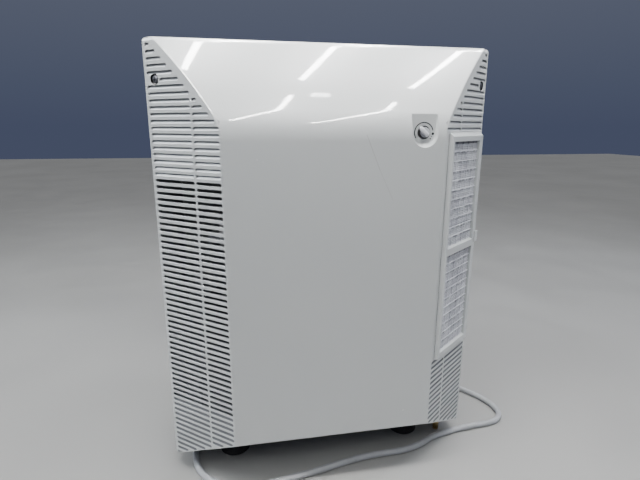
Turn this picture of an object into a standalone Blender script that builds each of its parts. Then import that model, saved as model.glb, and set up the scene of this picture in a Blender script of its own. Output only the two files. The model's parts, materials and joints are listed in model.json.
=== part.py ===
"""Compressor dehumidifier: moulded front cover with louvred wings, filter, fan, coils and mains lead.

Metres, +Z up, front towards -Y. The origin lies under the middle of the cabinet, on the surface
that the feet stand on. Air enters through the filter on the right wing, crosses both coils and
the fan, and leaves through the open slots of the left wing.
"""

import math

import bmesh
import bpy
import numpy as np
from mathutils import Matrix, Vector

GAP = 0.0003
END_STUB = 0.002
SIDE_VIEW = Matrix(((0, 0, 1, 0), (1, 0, 0, 0), (0, 1, 0, 0), (0, 0, 0, 1)))

# Cabinet
WIDTH = 0.393
DEPTH = 0.300
HEIGHT = 0.5222
HALF_WIDTH = WIDTH / 2
FRONT_Y = -DEPTH / 2
BACK_Y = DEPTH / 2
SHEET = 0.0012
BACK_SHEET = 0.0020

# Front cover
FACE_HALF = 0.1196
WING_ANGLE = math.radians(39.1)
WING_WIDTH = (HALF_WIDTH - FACE_HALF) / math.cos(WING_ANGLE)
RIM_Y = FRONT_Y + WING_WIDTH * math.sin(WING_ANGLE)
RIM_BOTTOM = 0.0194
PAN_THICKNESS = 0.0020
PAN_FLOOR = RIM_BOTTOM + PAN_THICKNESS
FACE_BOTTOM = 0.0665
COVER_WALL = 0.003
COVER_LIP = 0.012
SIDES = {"left": -1, "right": 1}

# Shoulder: three arcs that lean back from upright to level, from the face up to the top
SHOULDER_RADII = (0.070, 0.476, 0.014)
SHOULDER_LEANS = tuple(math.radians(lean) for lean in (0, 27.1, 36.7, 90))
SHOULDER_STEPS = (4, 3, 4)

# Louvre rows, counted down from the top edge
ROW_PITCH = 0.007
TOP_ROW_Z = 0.5140
SLOT_HEIGHT = 0.0035
SLOT_COLUMNS = {
    "left": ((0.0025, 0.0356), (0.0384, 0.0940)),
    "right": ((0.0075, 0.0356), (0.0384, 0.0915)),
}
OPEN_ROWS = {"left": (21, 59), "right": (14, 52)}

# Filter on the right wing: distances along the wing from its front edge
FILTER_SPAN = (0.0068, 0.0925)
FILTER_Z = (0.1532, 0.4265)
FILTER_PROUD = 0.005
WINDOW_SPAN = (0.0135, 0.0815)
WINDOW_ROWS = ((0.1640, 0.2850), (0.2960, 0.4145))
NET_DEPTH = (0.0012, 0.0020)
TAB_Z = (0.2890, 0.3030)
TAB_REACH = 0.0040
LUG_ROWS = (14, 51)
LUG_SPANS = ((0.0080, 0.0130), (0.0830, 0.0890))

# Humidistat
KNOB_X = 0.0957
KNOB_Z = 0.4265
KNOB_RADIUS = 0.0060
KNOB_HOLE = 0.0073
RECESS_HALF = 0.0144
RECESS_TOP = 0.4480
RECESS_FLOOR = 0.0060
SPINDLE_RADIUS = 0.0025

# Cover screws
SCREW_ALONG = 0.085
SCREW_Z = 0.4797
COUNTERBORE = 0.00575
SCREW_HEAD = 0.0039
SCREW_SHANK = 0.0020

# Feet and drain
FOOT_RADIUS = 0.020
FOOT_HEIGHT = RIM_BOTTOM - GAP
FOOT_X = 0.1215
FOOT_INSET = 0.0240
NIPPLE_X = 0.1675
NIPPLE_Y = -0.079
NIPPLE_BOTTOM = 0.0030
NIPPLE_RADIUS = 0.0040
NIPPLE_BORE = 0.0026

# Fan, on an axis along X
FAN_Y = -0.010
FAN_Z = 0.290
BULKHEAD_X = -0.030
ORIFICE_RADIUS = 0.088
BLADE_RADIUS = 0.084
BLADE_COUNT = 5
HUB_RADIUS = 0.022
MOTOR_X = (-0.128, -0.066)
MOTOR_RADIUS = 0.042
SHAFT_RADIUS = 0.004
PIPE_NOTCH = ((0.104, 0.204), (0.150, 0.246))

# Refrigerant circuit
COMPRESSOR_X = -0.107
COMPRESSOR_Y = 0.045
COMPRESSOR_RADIUS = 0.058
COIL_Y = (-0.092, 0.114)
COIL_Z = (0.152, 0.427)
EVAPORATOR_X = (0.105, 0.127)
CONDENSER_X = (0.070, 0.092)
DRIER_X = 0.0985
PIPE_RADIUS = 0.004

# Mains lead
CORD_DIAMETER = 0.008
CORD_RADIUS = CORD_DIAMETER / 2
GLAND_X = 0.140
GLAND_Z = 0.050
GLAND_RADIUS = 0.0075
RELIEF_FLANGE = 0.003
RELIEF_LENGTH = 0.035
CORD_EXIT_Y = BACK_Y + RELIEF_FLANGE + RELIEF_LENGTH + GAP
COIL_CENTRE = (-0.127, 0.217)
COIL_FLOOR = 0.0012
TURN_RADII = (0.040, 0.048)
CORD_ROUTE = (
    (0.1400, CORD_EXIT_Y, GLAND_Z),
    (0.1400, CORD_EXIT_Y + 0.008, GLAND_Z - 0.0002),
    (0.1405, 0.2110, 0.0470),
    (0.1430, 0.2280, 0.0385),
    (0.1500, 0.2450, 0.0265),
    (0.1620, 0.2590, 0.0150),
    (0.1790, 0.2670, 0.0075),
    (0.1980, 0.2655, 0.0045),
    (0.2130, 0.2540, CORD_RADIUS),
    (0.2210, 0.2350, CORD_RADIUS),
    (0.2220, 0.2120, CORD_RADIUS),
    (0.2170, 0.1680, CORD_RADIUS),
    (0.2110, 0.1200, CORD_RADIUS),
    (0.2130, 0.0820, CORD_RADIUS),
    (0.2280, 0.0440, CORD_RADIUS),
    (0.2500, 0.0100, CORD_RADIUS),
    (0.2690, -0.0170, CORD_RADIUS),
    (0.2785, -0.0400, CORD_RADIUS),
    (0.2790, -0.0620, CORD_RADIUS),
    (0.2665, -0.0790, CORD_RADIUS),
    (0.2430, -0.0848, CORD_RADIUS),
    (0.2150, -0.0870, CORD_RADIUS),
    (0.1929, -0.0898, CORD_RADIUS),
    (0.1730, -0.0937, CORD_RADIUS),
    (0.1560, -0.0980, CORD_RADIUS),
    (0.1300, -0.1100, CORD_RADIUS),
    (0.1040, -0.1170, CORD_RADIUS),
    (0.0690, -0.1185, CORD_RADIUS),
    (0.0300, -0.1230, CORD_RADIUS),
    (-0.0100, -0.1320, CORD_RADIUS),
    (-0.0500, -0.1395, CORD_RADIUS),
    (-0.0900, -0.1440, CORD_RADIUS),
    (-0.1250, -0.1400, CORD_RADIUS),
    (-0.1530, -0.1250, CORD_RADIUS),
    (-0.1685, -0.1020, CORD_RADIUS),
    (-0.1745, -0.0720, CORD_RADIUS),
    (-0.1770, -0.0200, CORD_RADIUS),
    (-0.1760, 0.0500, CORD_RADIUS),
    (-0.1745, 0.1100, CORD_RADIUS),
    (-0.1748, 0.1500, CORD_RADIUS + COIL_FLOOR / 3),
    (-0.1750, 0.1750, CORD_RADIUS + COIL_FLOOR),
    (-0.1750, 0.1888, CORD_RADIUS + COIL_FLOOR),
)

FINISHES = {
    "ivory_gloss": ((0.78, 0.80, 0.80), 0.22, 0.0),
    "painted_steel": ((0.70, 0.71, 0.70), 0.45, 0.0),
    "zinc": ((0.62, 0.63, 0.65), 0.35, 1.0),
    "black_paint": ((0.02, 0.02, 0.022), 0.40, 0.0),
    "rubber": ((0.02, 0.02, 0.02), 0.80, 0.0),
    "copper": ((0.72, 0.38, 0.24), 0.35, 1.0),
    "brass": ((0.66, 0.50, 0.25), 0.35, 1.0),
    "aluminium": ((0.75, 0.76, 0.78), 0.40, 1.0),
    "white_plastic": ((0.80, 0.82, 0.83), 0.40, 0.0),
    "grey_plastic": ((0.25, 0.26, 0.28), 0.50, 0.0),
    "net": ((0.62, 0.65, 0.72), 0.70, 0.0),
    "cord": ((0.55, 0.56, 0.58), 0.50, 0.0),
}


# Building blocks


def clear_scene():
    for obj in list(bpy.data.objects):
        bpy.data.objects.remove(obj)


def material(finish):
    found = bpy.data.materials.get(finish)
    if found:
        return found
    colour, roughness, metallic = FINISHES[finish]
    made = bpy.data.materials.new(finish)
    made.use_nodes = True
    shader = made.node_tree.nodes["Principled BSDF"]
    shader.inputs["Base Color"].default_value = (*colour, 1)
    shader.inputs["Roughness"].default_value = roughness
    shader.inputs["Metallic"].default_value = metallic
    return made


def finish_mesh(name, bm, finish, place=None):
    """Turns a bmesh into an object whose faces point out and whose round faces are smooth."""
    bmesh.ops.recalc_face_normals(bm, faces=bm.faces)
    mesh = bpy.data.meshes.new(name)
    bm.to_mesh(mesh)
    bm.free()
    mesh.shade_smooth()
    mesh.set_sharp_from_angle(angle=math.radians(35))
    mesh.materials.append(material(finish))
    obj = bpy.data.objects.new(name, mesh)
    bpy.context.scene.collection.objects.link(obj)
    if place is not None:
        obj.matrix_world = place
    return obj


def boolean(obj, tool, operation):
    """Adds a Boolean to obj and hides its tool. Returns obj."""
    tool.hide_render = True
    tool.display_type = "WIRE"
    modifier = obj.modifiers.new(tool.name, "BOOLEAN")
    modifier.solver = "EXACT"
    modifier.operation = operation
    modifier.object = tool
    return obj


def cut(obj, tool):
    return boolean(obj, tool, "DIFFERENCE")


def join(obj, tool):
    return boolean(obj, tool, "UNION")


def along(axis, origin=(0, 0, 0)):
    """A placement whose local Z points along axis."""
    turn = Vector(axis).to_track_quat("Z", "Y").to_matrix().to_4x4()
    return Matrix.Translation(origin) @ turn


def add_hull(bm, corners):
    """Adds the block with eight corners: four below, then the four above them, in one turning sense."""
    verts = [bm.verts.new(corner) for corner in corners]
    bm.faces.new(verts[:4])
    bm.faces.new(verts[4:])
    for i in range(4):
        j = (i + 1) % 4
        bm.faces.new((verts[i], verts[j], verts[j + 4], verts[i + 4]))


def box_corners(low, high):
    around = ((low[0], low[1]), (high[0], low[1]), (high[0], high[1]), (low[0], high[1]))
    return [(x, y, z) for z in (low[2], high[2]) for x, y in around]


def block(name, low, high, finish):
    bm = bmesh.new()
    add_hull(bm, box_corners(low, high))
    return finish_mesh(name, bm, finish)


def prism(name, outline, low, high, finish, place=None):
    """Extrudes an outline in local X and Y from one height to another."""
    bm = bmesh.new()
    face = bm.faces.new([bm.verts.new((u, v, low)) for u, v in outline])
    lifted = bmesh.ops.extrude_face_region(bm, geom=[face])["geom"]
    moved = [item for item in lifted if isinstance(item, bmesh.types.BMVert)]
    bmesh.ops.translate(bm, verts=moved, vec=(0, 0, high - low))
    return finish_mesh(name, bm, finish, place)


def turned(name, profile, finish, place=None, segments=24, closed=False):
    """Spins a profile of (radius, height) about local Z. A closed one returns to its first point."""
    bm = bmesh.new()
    verts = [bm.verts.new((radius, 0, height)) for radius, height in profile]
    pairs = list(zip(verts, verts[1:]))
    if closed:
        pairs.append((verts[-1], verts[0]))
    edges = [bm.edges.new((a, b)) for a, b in pairs if a.co.x or b.co.x]
    geometry = verts + edges
    bmesh.ops.spin(bm, geom=geometry, cent=(0, 0, 0), axis=(0, 0, 1), angle=2 * math.pi, steps=segments)
    bmesh.ops.remove_doubles(bm, verts=bm.verts, dist=1e-6)
    return finish_mesh(name, bm, finish, place)


def cylinder(name, radius, low, high, finish, place=None, segments=24):
    profile = ((0, low), (radius, low), (radius, high), (0, high))
    return turned(name, profile, finish, place, segments)


def ring(name, inner, outer, low, high, finish, place=None, segments=24):
    profile = ((inner, low), (outer, low), (outer, high), (inner, high))
    return turned(name, profile, finish, place, segments, closed=True)


def hex_nut(name, bore, radius, low, high, finish, place):
    outline = arc((0, 0), radius, 0, 300, 5)
    nut = prism(name, outline, low, high, finish, place)
    return cut(nut, cylinder(f"tool_{name}", bore, low - 0.001, high + 0.001, finish, place, 16))


def arc(centre, radius, start, end, steps):
    """Points of an arc, from one angle in degrees to another."""
    points = []
    for i in range(steps + 1):
        angle = math.radians(start + (end - start) * i / steps)
        points.append((centre[0] + radius * math.cos(angle), centre[1] + radius * math.sin(angle)))
    return points


def smooth_curve(route, spacing):
    """Points at an even spacing on the natural cubic spline through a route, with a stub at each end."""
    points = np.array(route, float)
    knots = np.concatenate([[0], np.cumsum(np.linalg.norm(np.diff(points, axis=0), axis=1))])
    steps = np.diff(knots)
    count = len(points)
    system = np.eye(count)
    bend = np.zeros_like(points)
    for i in range(1, count - 1):
        system[i, i - 1 : i + 2] = steps[i - 1], 2 * (steps[i - 1] + steps[i]), steps[i]
        slopes = (points[i + 1] - points[i]) / steps[i] - (points[i] - points[i - 1]) / steps[i - 1]
        bend[i] = 6 * slopes
    bend = np.linalg.solve(system, bend)
    fine = np.linspace(0, knots[-1], 40 * count)
    piece = np.clip(np.searchsorted(knots, fine, side="right") - 1, 0, count - 2)
    width = steps[piece][:, None]
    before = (knots[piece + 1] - fine)[:, None]
    after = (fine - knots[piece])[:, None]
    curve = (bend[piece] * before**3 + bend[piece + 1] * after**3) / (6 * width)
    curve += (points[piece] / width - bend[piece] * width / 6) * before
    curve += (points[piece + 1] / width - bend[piece + 1] * width / 6) * after
    lengths = np.concatenate([[0], np.cumsum(np.linalg.norm(np.diff(curve, axis=0), axis=1))])
    stations = np.linspace(0, lengths[-1], max(2, round(lengths[-1] / spacing) + 1))
    stations = np.sort(np.append(stations, (END_STUB, lengths[-1] - END_STUB)))
    return np.column_stack([np.interp(stations, lengths, curve[:, i]) for i in range(3)])


def tube(name, points, radius, finish, sides=2):
    """A round tube along points, with capped ends. sides is the curve's bevel resolution."""
    data = bpy.data.curves.new(name, "CURVE")
    data.dimensions = "3D"
    data.bevel_depth = radius
    data.bevel_resolution = sides
    data.use_fill_caps = True
    spline = data.splines.new("POLY")
    spline.points.add(len(points) - 1)
    for target, point in zip(spline.points, points):
        target.co = (*point, 1)
    data.materials.append(material(finish))
    obj = bpy.data.objects.new(name, data)
    bpy.context.scene.collection.objects.link(obj)
    return obj


# Front cover


def wing_point(side, distance, z, depth=0.0):
    """A point on a wing: distance along it from its front edge, and depth below its surface."""
    x = FACE_HALF + distance * math.cos(WING_ANGLE) - depth * math.sin(WING_ANGLE)
    y = FRONT_Y + distance * math.sin(WING_ANGLE) + depth * math.cos(WING_ANGLE)
    return Vector((side * x, y, z))


def wing_normal(side):
    return Vector((side * math.sin(WING_ANGLE), -math.cos(WING_ANGLE), 0))


def wing_frame(side, distance, z, depth=0.0):
    """A placement whose local Z points straight into the wing."""
    return along(-wing_normal(side), wing_point(side, distance, z, depth))


def add_wing_block(bm, side, distances, heights, depths):
    corners = []
    for z in heights:
        for distance, depth in ((0, 0), (1, 0), (1, 1), (0, 1)):
            corners.append(wing_point(side, distances[distance], z, depths[depth]))
    add_hull(bm, corners)


def wing_block(name, side, distances, heights, depths, finish):
    bm = bmesh.new()
    add_wing_block(bm, side, distances, heights, depths)
    return finish_mesh(name, bm, finish)


def cover_plan(inset, back_y):
    """The cover from above: flat face, two wings and straight lips."""
    face = FACE_HALF - inset * math.tan(WING_ANGLE / 2)
    side = HALF_WIDTH - inset
    wing_back = FRONT_Y + (side - FACE_HALF) * math.tan(WING_ANGLE) + inset / math.cos(WING_ANGLE)
    right = [(face, FRONT_Y + inset), (side, wing_back), (side, back_y)]
    return right + [(-x, y) for x, y in reversed(right)]


def shoulder_curve(inset):
    """The curve from the flat face over to the top, as points of (y, z)."""
    leans = list(zip(SHOULDER_RADII, SHOULDER_LEANS, SHOULDER_LEANS[1:]))
    rise = sum(radius * (math.sin(end) - math.sin(start)) for radius, start, end in leans)
    points = [(FRONT_Y + inset, HEIGHT - rise)]
    for (radius, start, end), steps in zip(leans, SHOULDER_STEPS):
        y, z = points[-1]
        reach = radius - inset
        centre = (y + reach * math.cos(start), z - reach * math.sin(start))
        points += arc(centre, reach, 180 - math.degrees(start), 180 - math.degrees(end), steps)[1:]
    return points


def cover_profile(inset, back_y):
    """The cover from the side: sloped underside, flat face and curved top, as points of (y, z)."""
    slope = Vector((RIM_Y - FRONT_Y, RIM_BOTTOM - FACE_BOTTOM))
    inward = Vector((-slope.y, slope.x)).normalized()
    face_z = FACE_BOTTOM + inset * (1 - inward.x) / inward.y
    rim_z = face_z + (RIM_Y - FRONT_Y - inset) * slope.y / slope.x
    below = RIM_BOTTOM - inset * 2
    return [
        (back_y, below),
        (RIM_Y, below),
        (RIM_Y, rim_z),
        (FRONT_Y + inset, face_z),
        *shoulder_curve(inset),
        (back_y, HEIGHT - inset),
    ]


def cover_body(name, inset, back_y):
    """The solid whose outside is the cover's surface moved in by inset."""
    body = prism(name, cover_plan(inset, back_y), 0, HEIGHT * 1.1, "ivory_gloss")
    outline = cover_profile(inset, back_y)
    slab = prism(name + "_profile", outline, -WIDTH, WIDTH, "ivory_gloss", SIDE_VIEW)
    return boolean(body, slab, "INTERSECT")


def recess_outline(grow):
    """The D shape around the knob, flat at the top and round below, as points of (x, z)."""
    half = RECESS_HALF + grow
    centre_z = KNOB_Z - 0.0015
    lower = arc((KNOB_X, centre_z), half, 180, 360, 12)
    return lower + [(KNOB_X + half, RECESS_TOP + grow), (KNOB_X - half, RECESS_TOP + grow)]


def recess_prism(name, grow, front, back):
    """The D shape from a depth in front of the cover's face to one behind it."""
    facing = Matrix(((1, 0, 0, 0), (0, 0, 1, FRONT_Y), (0, 1, 0, 0), (0, 0, 0, 1)))
    return prism(name, recess_outline(grow), front, back, "ivory_gloss", facing)


def knob_frame(depth=0.0):
    """A placement on the knob's axis whose local Z points into the cabinet."""
    return along((0, 1, 0), (KNOB_X, FRONT_Y + depth, KNOB_Z))


def slot_cutter():
    """Every open slot of both wings, as one tool of separate blocks."""
    bm = bmesh.new()
    for name, side in SIDES.items():
        first, last = OPEN_ROWS[name]
        for row in range(first, last + 1):
            z = TOP_ROW_Z - ROW_PITCH * (row - 1)
            for column in SLOT_COLUMNS[name]:
                heights = (z - SLOT_HEIGHT / 2, z + SLOT_HEIGHT / 2)
                add_wing_block(bm, side, column, heights, (-0.001, COVER_WALL + 0.001))
    return finish_mesh("tool_slots", bm, "ivory_gloss")


def front_cover():
    cover = cover_body("front_cover", 0, RIM_Y + COVER_LIP)
    cut(cover, cover_body("tool_cover_inside", COVER_WALL, RIM_Y + COVER_LIP * 2))
    boss = recess_prism("tool_recess_boss", COVER_WALL, 0, RECESS_FLOOR + COVER_WALL)
    limit = cover_body("tool_boss_limit", COVER_WALL / 6, RIM_Y + COVER_LIP)
    join(cover, boolean(boss, limit, "INTERSECT"))
    cut(cover, recess_prism("tool_recess", 0, -0.010, RECESS_FLOOR))
    cut(cover, cylinder("tool_knob_hole", KNOB_HOLE, 0, 0.020, "ivory_gloss", knob_frame()))
    for name, side in SIDES.items():
        place = wing_frame(side, SCREW_ALONG, SCREW_Z)
        join(cover, cylinder(f"tool_boss_{name}", 0.008, 0.001, 0.006, "ivory_gloss", place))
        counterbore = ((0, -0.002), (COUNTERBORE, -0.002), (COUNTERBORE, 0.0035), (0.0024, 0.0035))
        profile = (*counterbore, (0.0024, 0.008), (0, 0.008))
        cut(cover, turned(f"tool_counterbore_{name}", profile, "ivory_gloss", place))
    return cut(cover, slot_cutter())


def cover_screw(name, side):
    """A pan head screw with a cross recess, sunk in the wing."""
    head_top = 0.0003
    head_base = 0.0031
    place = wing_frame(side, SCREW_ALONG, SCREW_Z)
    profile = (
        (0, head_top),
        (SCREW_HEAD * 0.7, head_top + 0.0003),
        (SCREW_HEAD, head_top + 0.0012),
        (SCREW_HEAD, head_base),
        (SCREW_SHANK, head_base),
        (SCREW_SHANK, 0.0150),
        (0, 0.0160),
    )
    screw = turned(name, profile, "zinc", place, 16)
    arm = (0.0022, 0.00045)
    cross_depth = 0.0022
    for i, (across, up) in enumerate((arm, arm[::-1])):
        bm = bmesh.new()
        add_hull(bm, box_corners((-across, -up, 0), (across, up, cross_depth)))
        cut(screw, finish_mesh(f"tool_cross_{name}_{i}", bm, "zinc", place))
    return screw


def cover_bracket(name, side):
    """The bent tab of the cabinet that the cover screw bites into."""
    inner_x = HALF_WIDTH - COVER_WALL - SHEET - 3 * GAP
    outline = [
        wing_point(side, 0.0765, 0, 0.0063),
        wing_point(side, 0.0950, 0, 0.0063),
        Vector((side * inner_x, RIM_Y + 0.0070, 0)),
        Vector((side * inner_x, RIM_Y + 0.0300, 0)),
        Vector((side * (inner_x - 0.0015), RIM_Y + 0.0300, 0)),
        Vector((side * (inner_x - 0.0015), RIM_Y + 0.0080, 0)),
        wing_point(side, 0.0945, 0, 0.0080),
        wing_point(side, 0.0765, 0, 0.0080),
    ]
    flat = [(point.x, point.y) for point in outline]
    bracket = prism(name, flat, SCREW_Z - 0.014, SCREW_Z + 0.014, "zinc")
    place = wing_frame(side, SCREW_ALONG, SCREW_Z)
    return cut(bracket, cylinder(f"tool_{name}", SCREW_SHANK + GAP, 0.004, 0.012, "zinc", place, 16))


# Filter


def filter_frame():
    """A frame with two windows and a finger tab. Lugs behind it sit in the wing's slots."""
    right = SIDES["right"]
    depths = (-FILTER_PROUD, -GAP)
    centre = wing_point(right, sum(FILTER_SPAN) / 2, sum(FILTER_Z) / 2)
    frame = wing_block("filter_frame", right, FILTER_SPAN, FILTER_Z, depths, "ivory_gloss")
    frame.data.transform(Matrix.Translation(-centre))
    frame.location = centre
    for i, window in enumerate(WINDOW_ROWS):
        through = (-FILTER_PROUD - 0.001, 0.001)
        cut(frame, wing_block(f"tool_window_{i}", right, WINDOW_SPAN, window, through, "ivory_gloss"))
    tab = (FILTER_SPAN[1] - TAB_REACH, FILTER_SPAN[1] + TAB_REACH)
    tab_depths = (-FILTER_PROUD - 0.0012, -0.0010)
    join(frame, wing_block("tool_tab", right, tab, TAB_Z, tab_depths, "ivory_gloss"))
    for i, row in enumerate(LUG_ROWS):
        z = TOP_ROW_Z - ROW_PITCH * (row - 1)
        for j, lug in enumerate(LUG_SPANS):
            heights = (z - SLOT_HEIGHT / 2 + GAP, z + SLOT_HEIGHT / 2 - GAP)
            name = f"tool_lug_{i}{j}"
            join(frame, wing_block(name, right, lug, heights, (-0.0010, COVER_WALL), "ivory_gloss"))
    return frame


def filter_nets():
    span = (WINDOW_SPAN[0] + GAP, WINDOW_SPAN[1] - GAP)
    depths = (-NET_DEPTH[1], -NET_DEPTH[0])
    for name, window in zip(("filter_net_lower", "filter_net_upper"), WINDOW_ROWS):
        heights = (window[0] + GAP, window[1] - GAP)
        wing_block(name, SIDES["right"], span, heights, depths, "net")


# Humidistat


def humidistat():
    wall_back = RECESS_FLOOR + COVER_WALL
    knob_front = 0.0025
    knob_back = wall_back - 0.0005
    knob = cylinder("humidistat_knob", KNOB_RADIUS, knob_front, knob_back, "white_plastic", knob_frame())
    bar_reach = (knob_front - 0.0015, knob_front + 0.001)
    bar = cylinder("tool_bar", 0.0013, *bar_reach, "white_plastic", segments=16)
    bar.data.transform(Matrix.Diagonal((4.2, 1, 1, 1)))
    bar.matrix_world = knob_frame() @ Matrix.Rotation(math.radians(-42), 4, "Z")
    join(knob, bar)
    body_front = wall_back + GAP
    spindle = (knob_back + GAP, body_front + 0.012)
    cylinder("humidistat_spindle", SPINDLE_RADIUS, *spindle, "grey_plastic", knob_frame(), 16)
    half = 0.0175
    low = (KNOB_X - half, FRONT_Y + body_front, KNOB_Z - half)
    high = (KNOB_X + half, FRONT_Y + body_front + 0.028, KNOB_Z + half)
    body = block("humidistat_body", low, high, "grey_plastic")
    bore = SPINDLE_RADIUS + GAP
    cut(body, cylinder("tool_spindle_bore", bore, 0, spindle[1] + 0.001, "grey_plastic", knob_frame(), 16))


# Cabinet


def cabinet():
    """Base pan, two sides, top and back: sheet parts that lap inside the cover's lip."""
    outer_x = HALF_WIDTH - COVER_WALL - GAP
    inner_x = outer_x - SHEET
    front = RIM_Y + 0.0040
    top = HEIGHT - COVER_WALL - GAP
    pan_x = inner_x - GAP
    pan_back = BACK_Y - BACK_SHEET - GAP
    under_top = top - SHEET - GAP
    steel = "painted_steel"
    for name, side in SIDES.items():
        low_x, high_x = sorted((side * inner_x, side * outer_x))
        block(f"{name}_side_panel", (low_x, front, RIM_BOTTOM), (high_x, BACK_Y, under_top), steel)
    block("top_panel", (-outer_x, front, top - SHEET), (outer_x, BACK_Y, top), steel)
    back = block("back_panel", (-pan_x, BACK_Y - BACK_SHEET, RIM_BOTTOM), (pan_x, BACK_Y, under_top), steel)
    hole = along((0, 1, 0), (GLAND_X, BACK_Y, GLAND_Z))
    cut(back, cylinder("tool_gland_hole", GLAND_RADIUS, -0.010, 0.010, steel, hole))
    base_pan(pan_x, pan_back)


def base_pan(pan_x, pan_back):
    wall = 0.0015
    wall_top = RIM_BOTTOM + 0.012
    front = RIM_Y + GAP
    pan = block("base_pan", (-pan_x, front, RIM_BOTTOM), (pan_x, pan_back, wall_top), "zinc")
    low = (-pan_x + wall, front + wall, PAN_FLOOR)
    cut(pan, block("tool_pan_inside", low, (pan_x - wall, pan_back - wall, wall_top + 0.01), "zinc"))
    hole = Matrix.Translation((NIPPLE_X, NIPPLE_Y, 0))
    cut(pan, cylinder("tool_nipple_hole", NIPPLE_RADIUS + GAP, 0.01, 0.03, "zinc", hole, 16))


def feet():
    rows = {"front": RIM_Y + FOOT_INSET, "rear": BACK_Y - FOOT_INSET}
    rim = 0.0015
    profile = (
        (0.0060, 0),
        (FOOT_RADIUS - rim, 0),
        (FOOT_RADIUS, rim),
        (FOOT_RADIUS * 0.88, FOOT_HEIGHT),
        (0, FOOT_HEIGHT),
        (0, FOOT_HEIGHT * 0.45),
        (0.0060, FOOT_HEIGHT * 0.45),
    )
    for row, y in rows.items():
        for name, side in SIDES.items():
            place = Matrix.Translation((side * FOOT_X, y, 0))
            turned(f"foot_{row}_{name}", profile, "rubber", place, 24, closed=True)


# Drain


def drain():
    place = Matrix.Translation((NIPPLE_X, NIPPLE_Y, 0))
    under_pan = RIM_BOTTOM - GAP
    profile = (
        (NIPPLE_BORE, NIPPLE_BOTTOM),
        (NIPPLE_RADIUS, NIPPLE_BOTTOM),
        (NIPPLE_RADIUS, under_pan - 0.0030),
        (0.0062, under_pan - 0.0030),
        (0.0062, under_pan),
        (NIPPLE_RADIUS, under_pan),
        (NIPPLE_RADIUS, 0.0480),
        (NIPPLE_BORE, 0.0480),
    )
    turned("drain_nipple", profile, "brass", place, 16, closed=True)
    inner = NIPPLE_RADIUS + GAP
    hex_nut("drain_locknut", inner, 0.0070, PAN_FLOOR + GAP, PAN_FLOOR + 0.004, "brass", place)
    hose_low = PAN_FLOOR + 0.006
    ring("drain_hose", inner, 0.0065, hose_low, 0.1190, "rubber", place, 16)
    drip_tray(place)


def drip_tray(outlet):
    """A trough under both coils, with a spout that reaches into the hose."""
    wall = 0.002
    low_z, floor_z, high_z = 0.1200, 0.1220, 0.1460
    front = -0.0985
    back = 0.1280
    left, right = 0.0620, 0.1740
    tray = block("drip_tray", (left, front, low_z), (right, back, high_z), "white_plastic")
    inside_low = (left + wall, front + wall, floor_z)
    inside_high = (right - wall, back - wall, high_z + 0.01)
    cut(tray, block("tool_tray", inside_low, inside_high, "white_plastic"))
    join(tray, cylinder("tool_spout", NIPPLE_RADIUS, 0.1000, low_z + 0.001, "white_plastic", outlet, 16))
    cut(tray, cylinder("tool_spout_bore", NIPPLE_BORE, 0.0900, high_z, "white_plastic", outlet, 12))


# Refrigerant circuit


def compressor():
    """A welded can on a foot plate, held by bolts through rubber grommets."""
    place = Matrix.Translation((COMPRESSOR_X, COMPRESSOR_Y, 0))
    plate_z = 0.0340
    radius = COMPRESSOR_RADIUS
    profile = [
        (0, plate_z),
        (0.070, plate_z),
        (0.070, plate_z + 0.003),
        (radius * 0.92, plate_z + 0.003),
        (radius, plate_z + 0.016),
        (radius, 0.1600),
        (radius * 0.95, 0.1760),
        (radius * 0.70, 0.1900),
        (radius * 0.35, 0.1970),
        (0, 0.1985),
    ]
    can = turned("compressor", profile, "black_paint", place, 24)
    for i in range(3):
        angle = math.radians(90 + 120 * i)
        x = COMPRESSOR_X + 0.0640 * math.cos(angle)
        y = COMPRESSOR_Y + 0.0640 * math.sin(angle)
        spot = Matrix.Translation((x, y, 0))
        cut(can, cylinder(f"tool_foot_hole_{i}", 0.0033, 0.02, 0.05, "black_paint", spot, 12))
        low = PAN_FLOOR + GAP
        high = plate_z - GAP
        ring(f"compressor_grommet_{i + 1}", 0.0033, 0.0085, low, high, "rubber", spot, 16)
        head = plate_z + 0.0033
        head_top = head + 0.004
        bolt = ((0, low), (0.0030, low), (0.0030, head), (0.0060, head), (0.0060, head_top), (0, head_top))
        turned(f"compressor_bolt_{i + 1}", bolt, "zinc", spot, 12)
    terminal_x = COMPRESSOR_X - radius - 0.0003
    low = (terminal_x - 0.016, COMPRESSOR_Y - 0.020, 0.110)
    high = (terminal_x - 0.0005, COMPRESSOR_Y + 0.020, 0.150)
    block("terminal_cover", low, high, "grey_plastic")


def fin_coil(name, span, bends):
    """A finned block with end plates, with the tube's return bends behind it."""
    fin_depth = 0.002
    pitch = 0.0125
    outline = [(COIL_Y[0], span[0])]
    y = COIL_Y[0] + pitch
    while y < COIL_Y[1] - pitch / 2:
        outline += [(y - 0.002, span[0]), (y - 0.002, span[0] + fin_depth)]
        outline += [(y + 0.002, span[0] + fin_depth), (y + 0.002, span[0])]
        y += pitch
    outline += [(COIL_Y[1], span[0]), (COIL_Y[1], span[1]), (COIL_Y[0], span[1])]
    flipped = [(x, y) for y, x in outline]
    coil = prism(name, flipped, COIL_Z[0], COIL_Z[1], "aluminium")
    middle = sum(span) / 2
    for i in range(bends):
        centre_z = COIL_Z[0] + 0.040 + 0.052 * i
        loop = []
        for y, z in arc((COIL_Y[1] - 0.002, centre_z), 0.013, -90, 90, 6):
            loop.append((middle, y, z))
        bend = tube(f"tool_{name}_bend_{i}", loop, PIPE_RADIUS, "copper", 1)
        join(coil, as_mesh(bend))
    return coil


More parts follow.
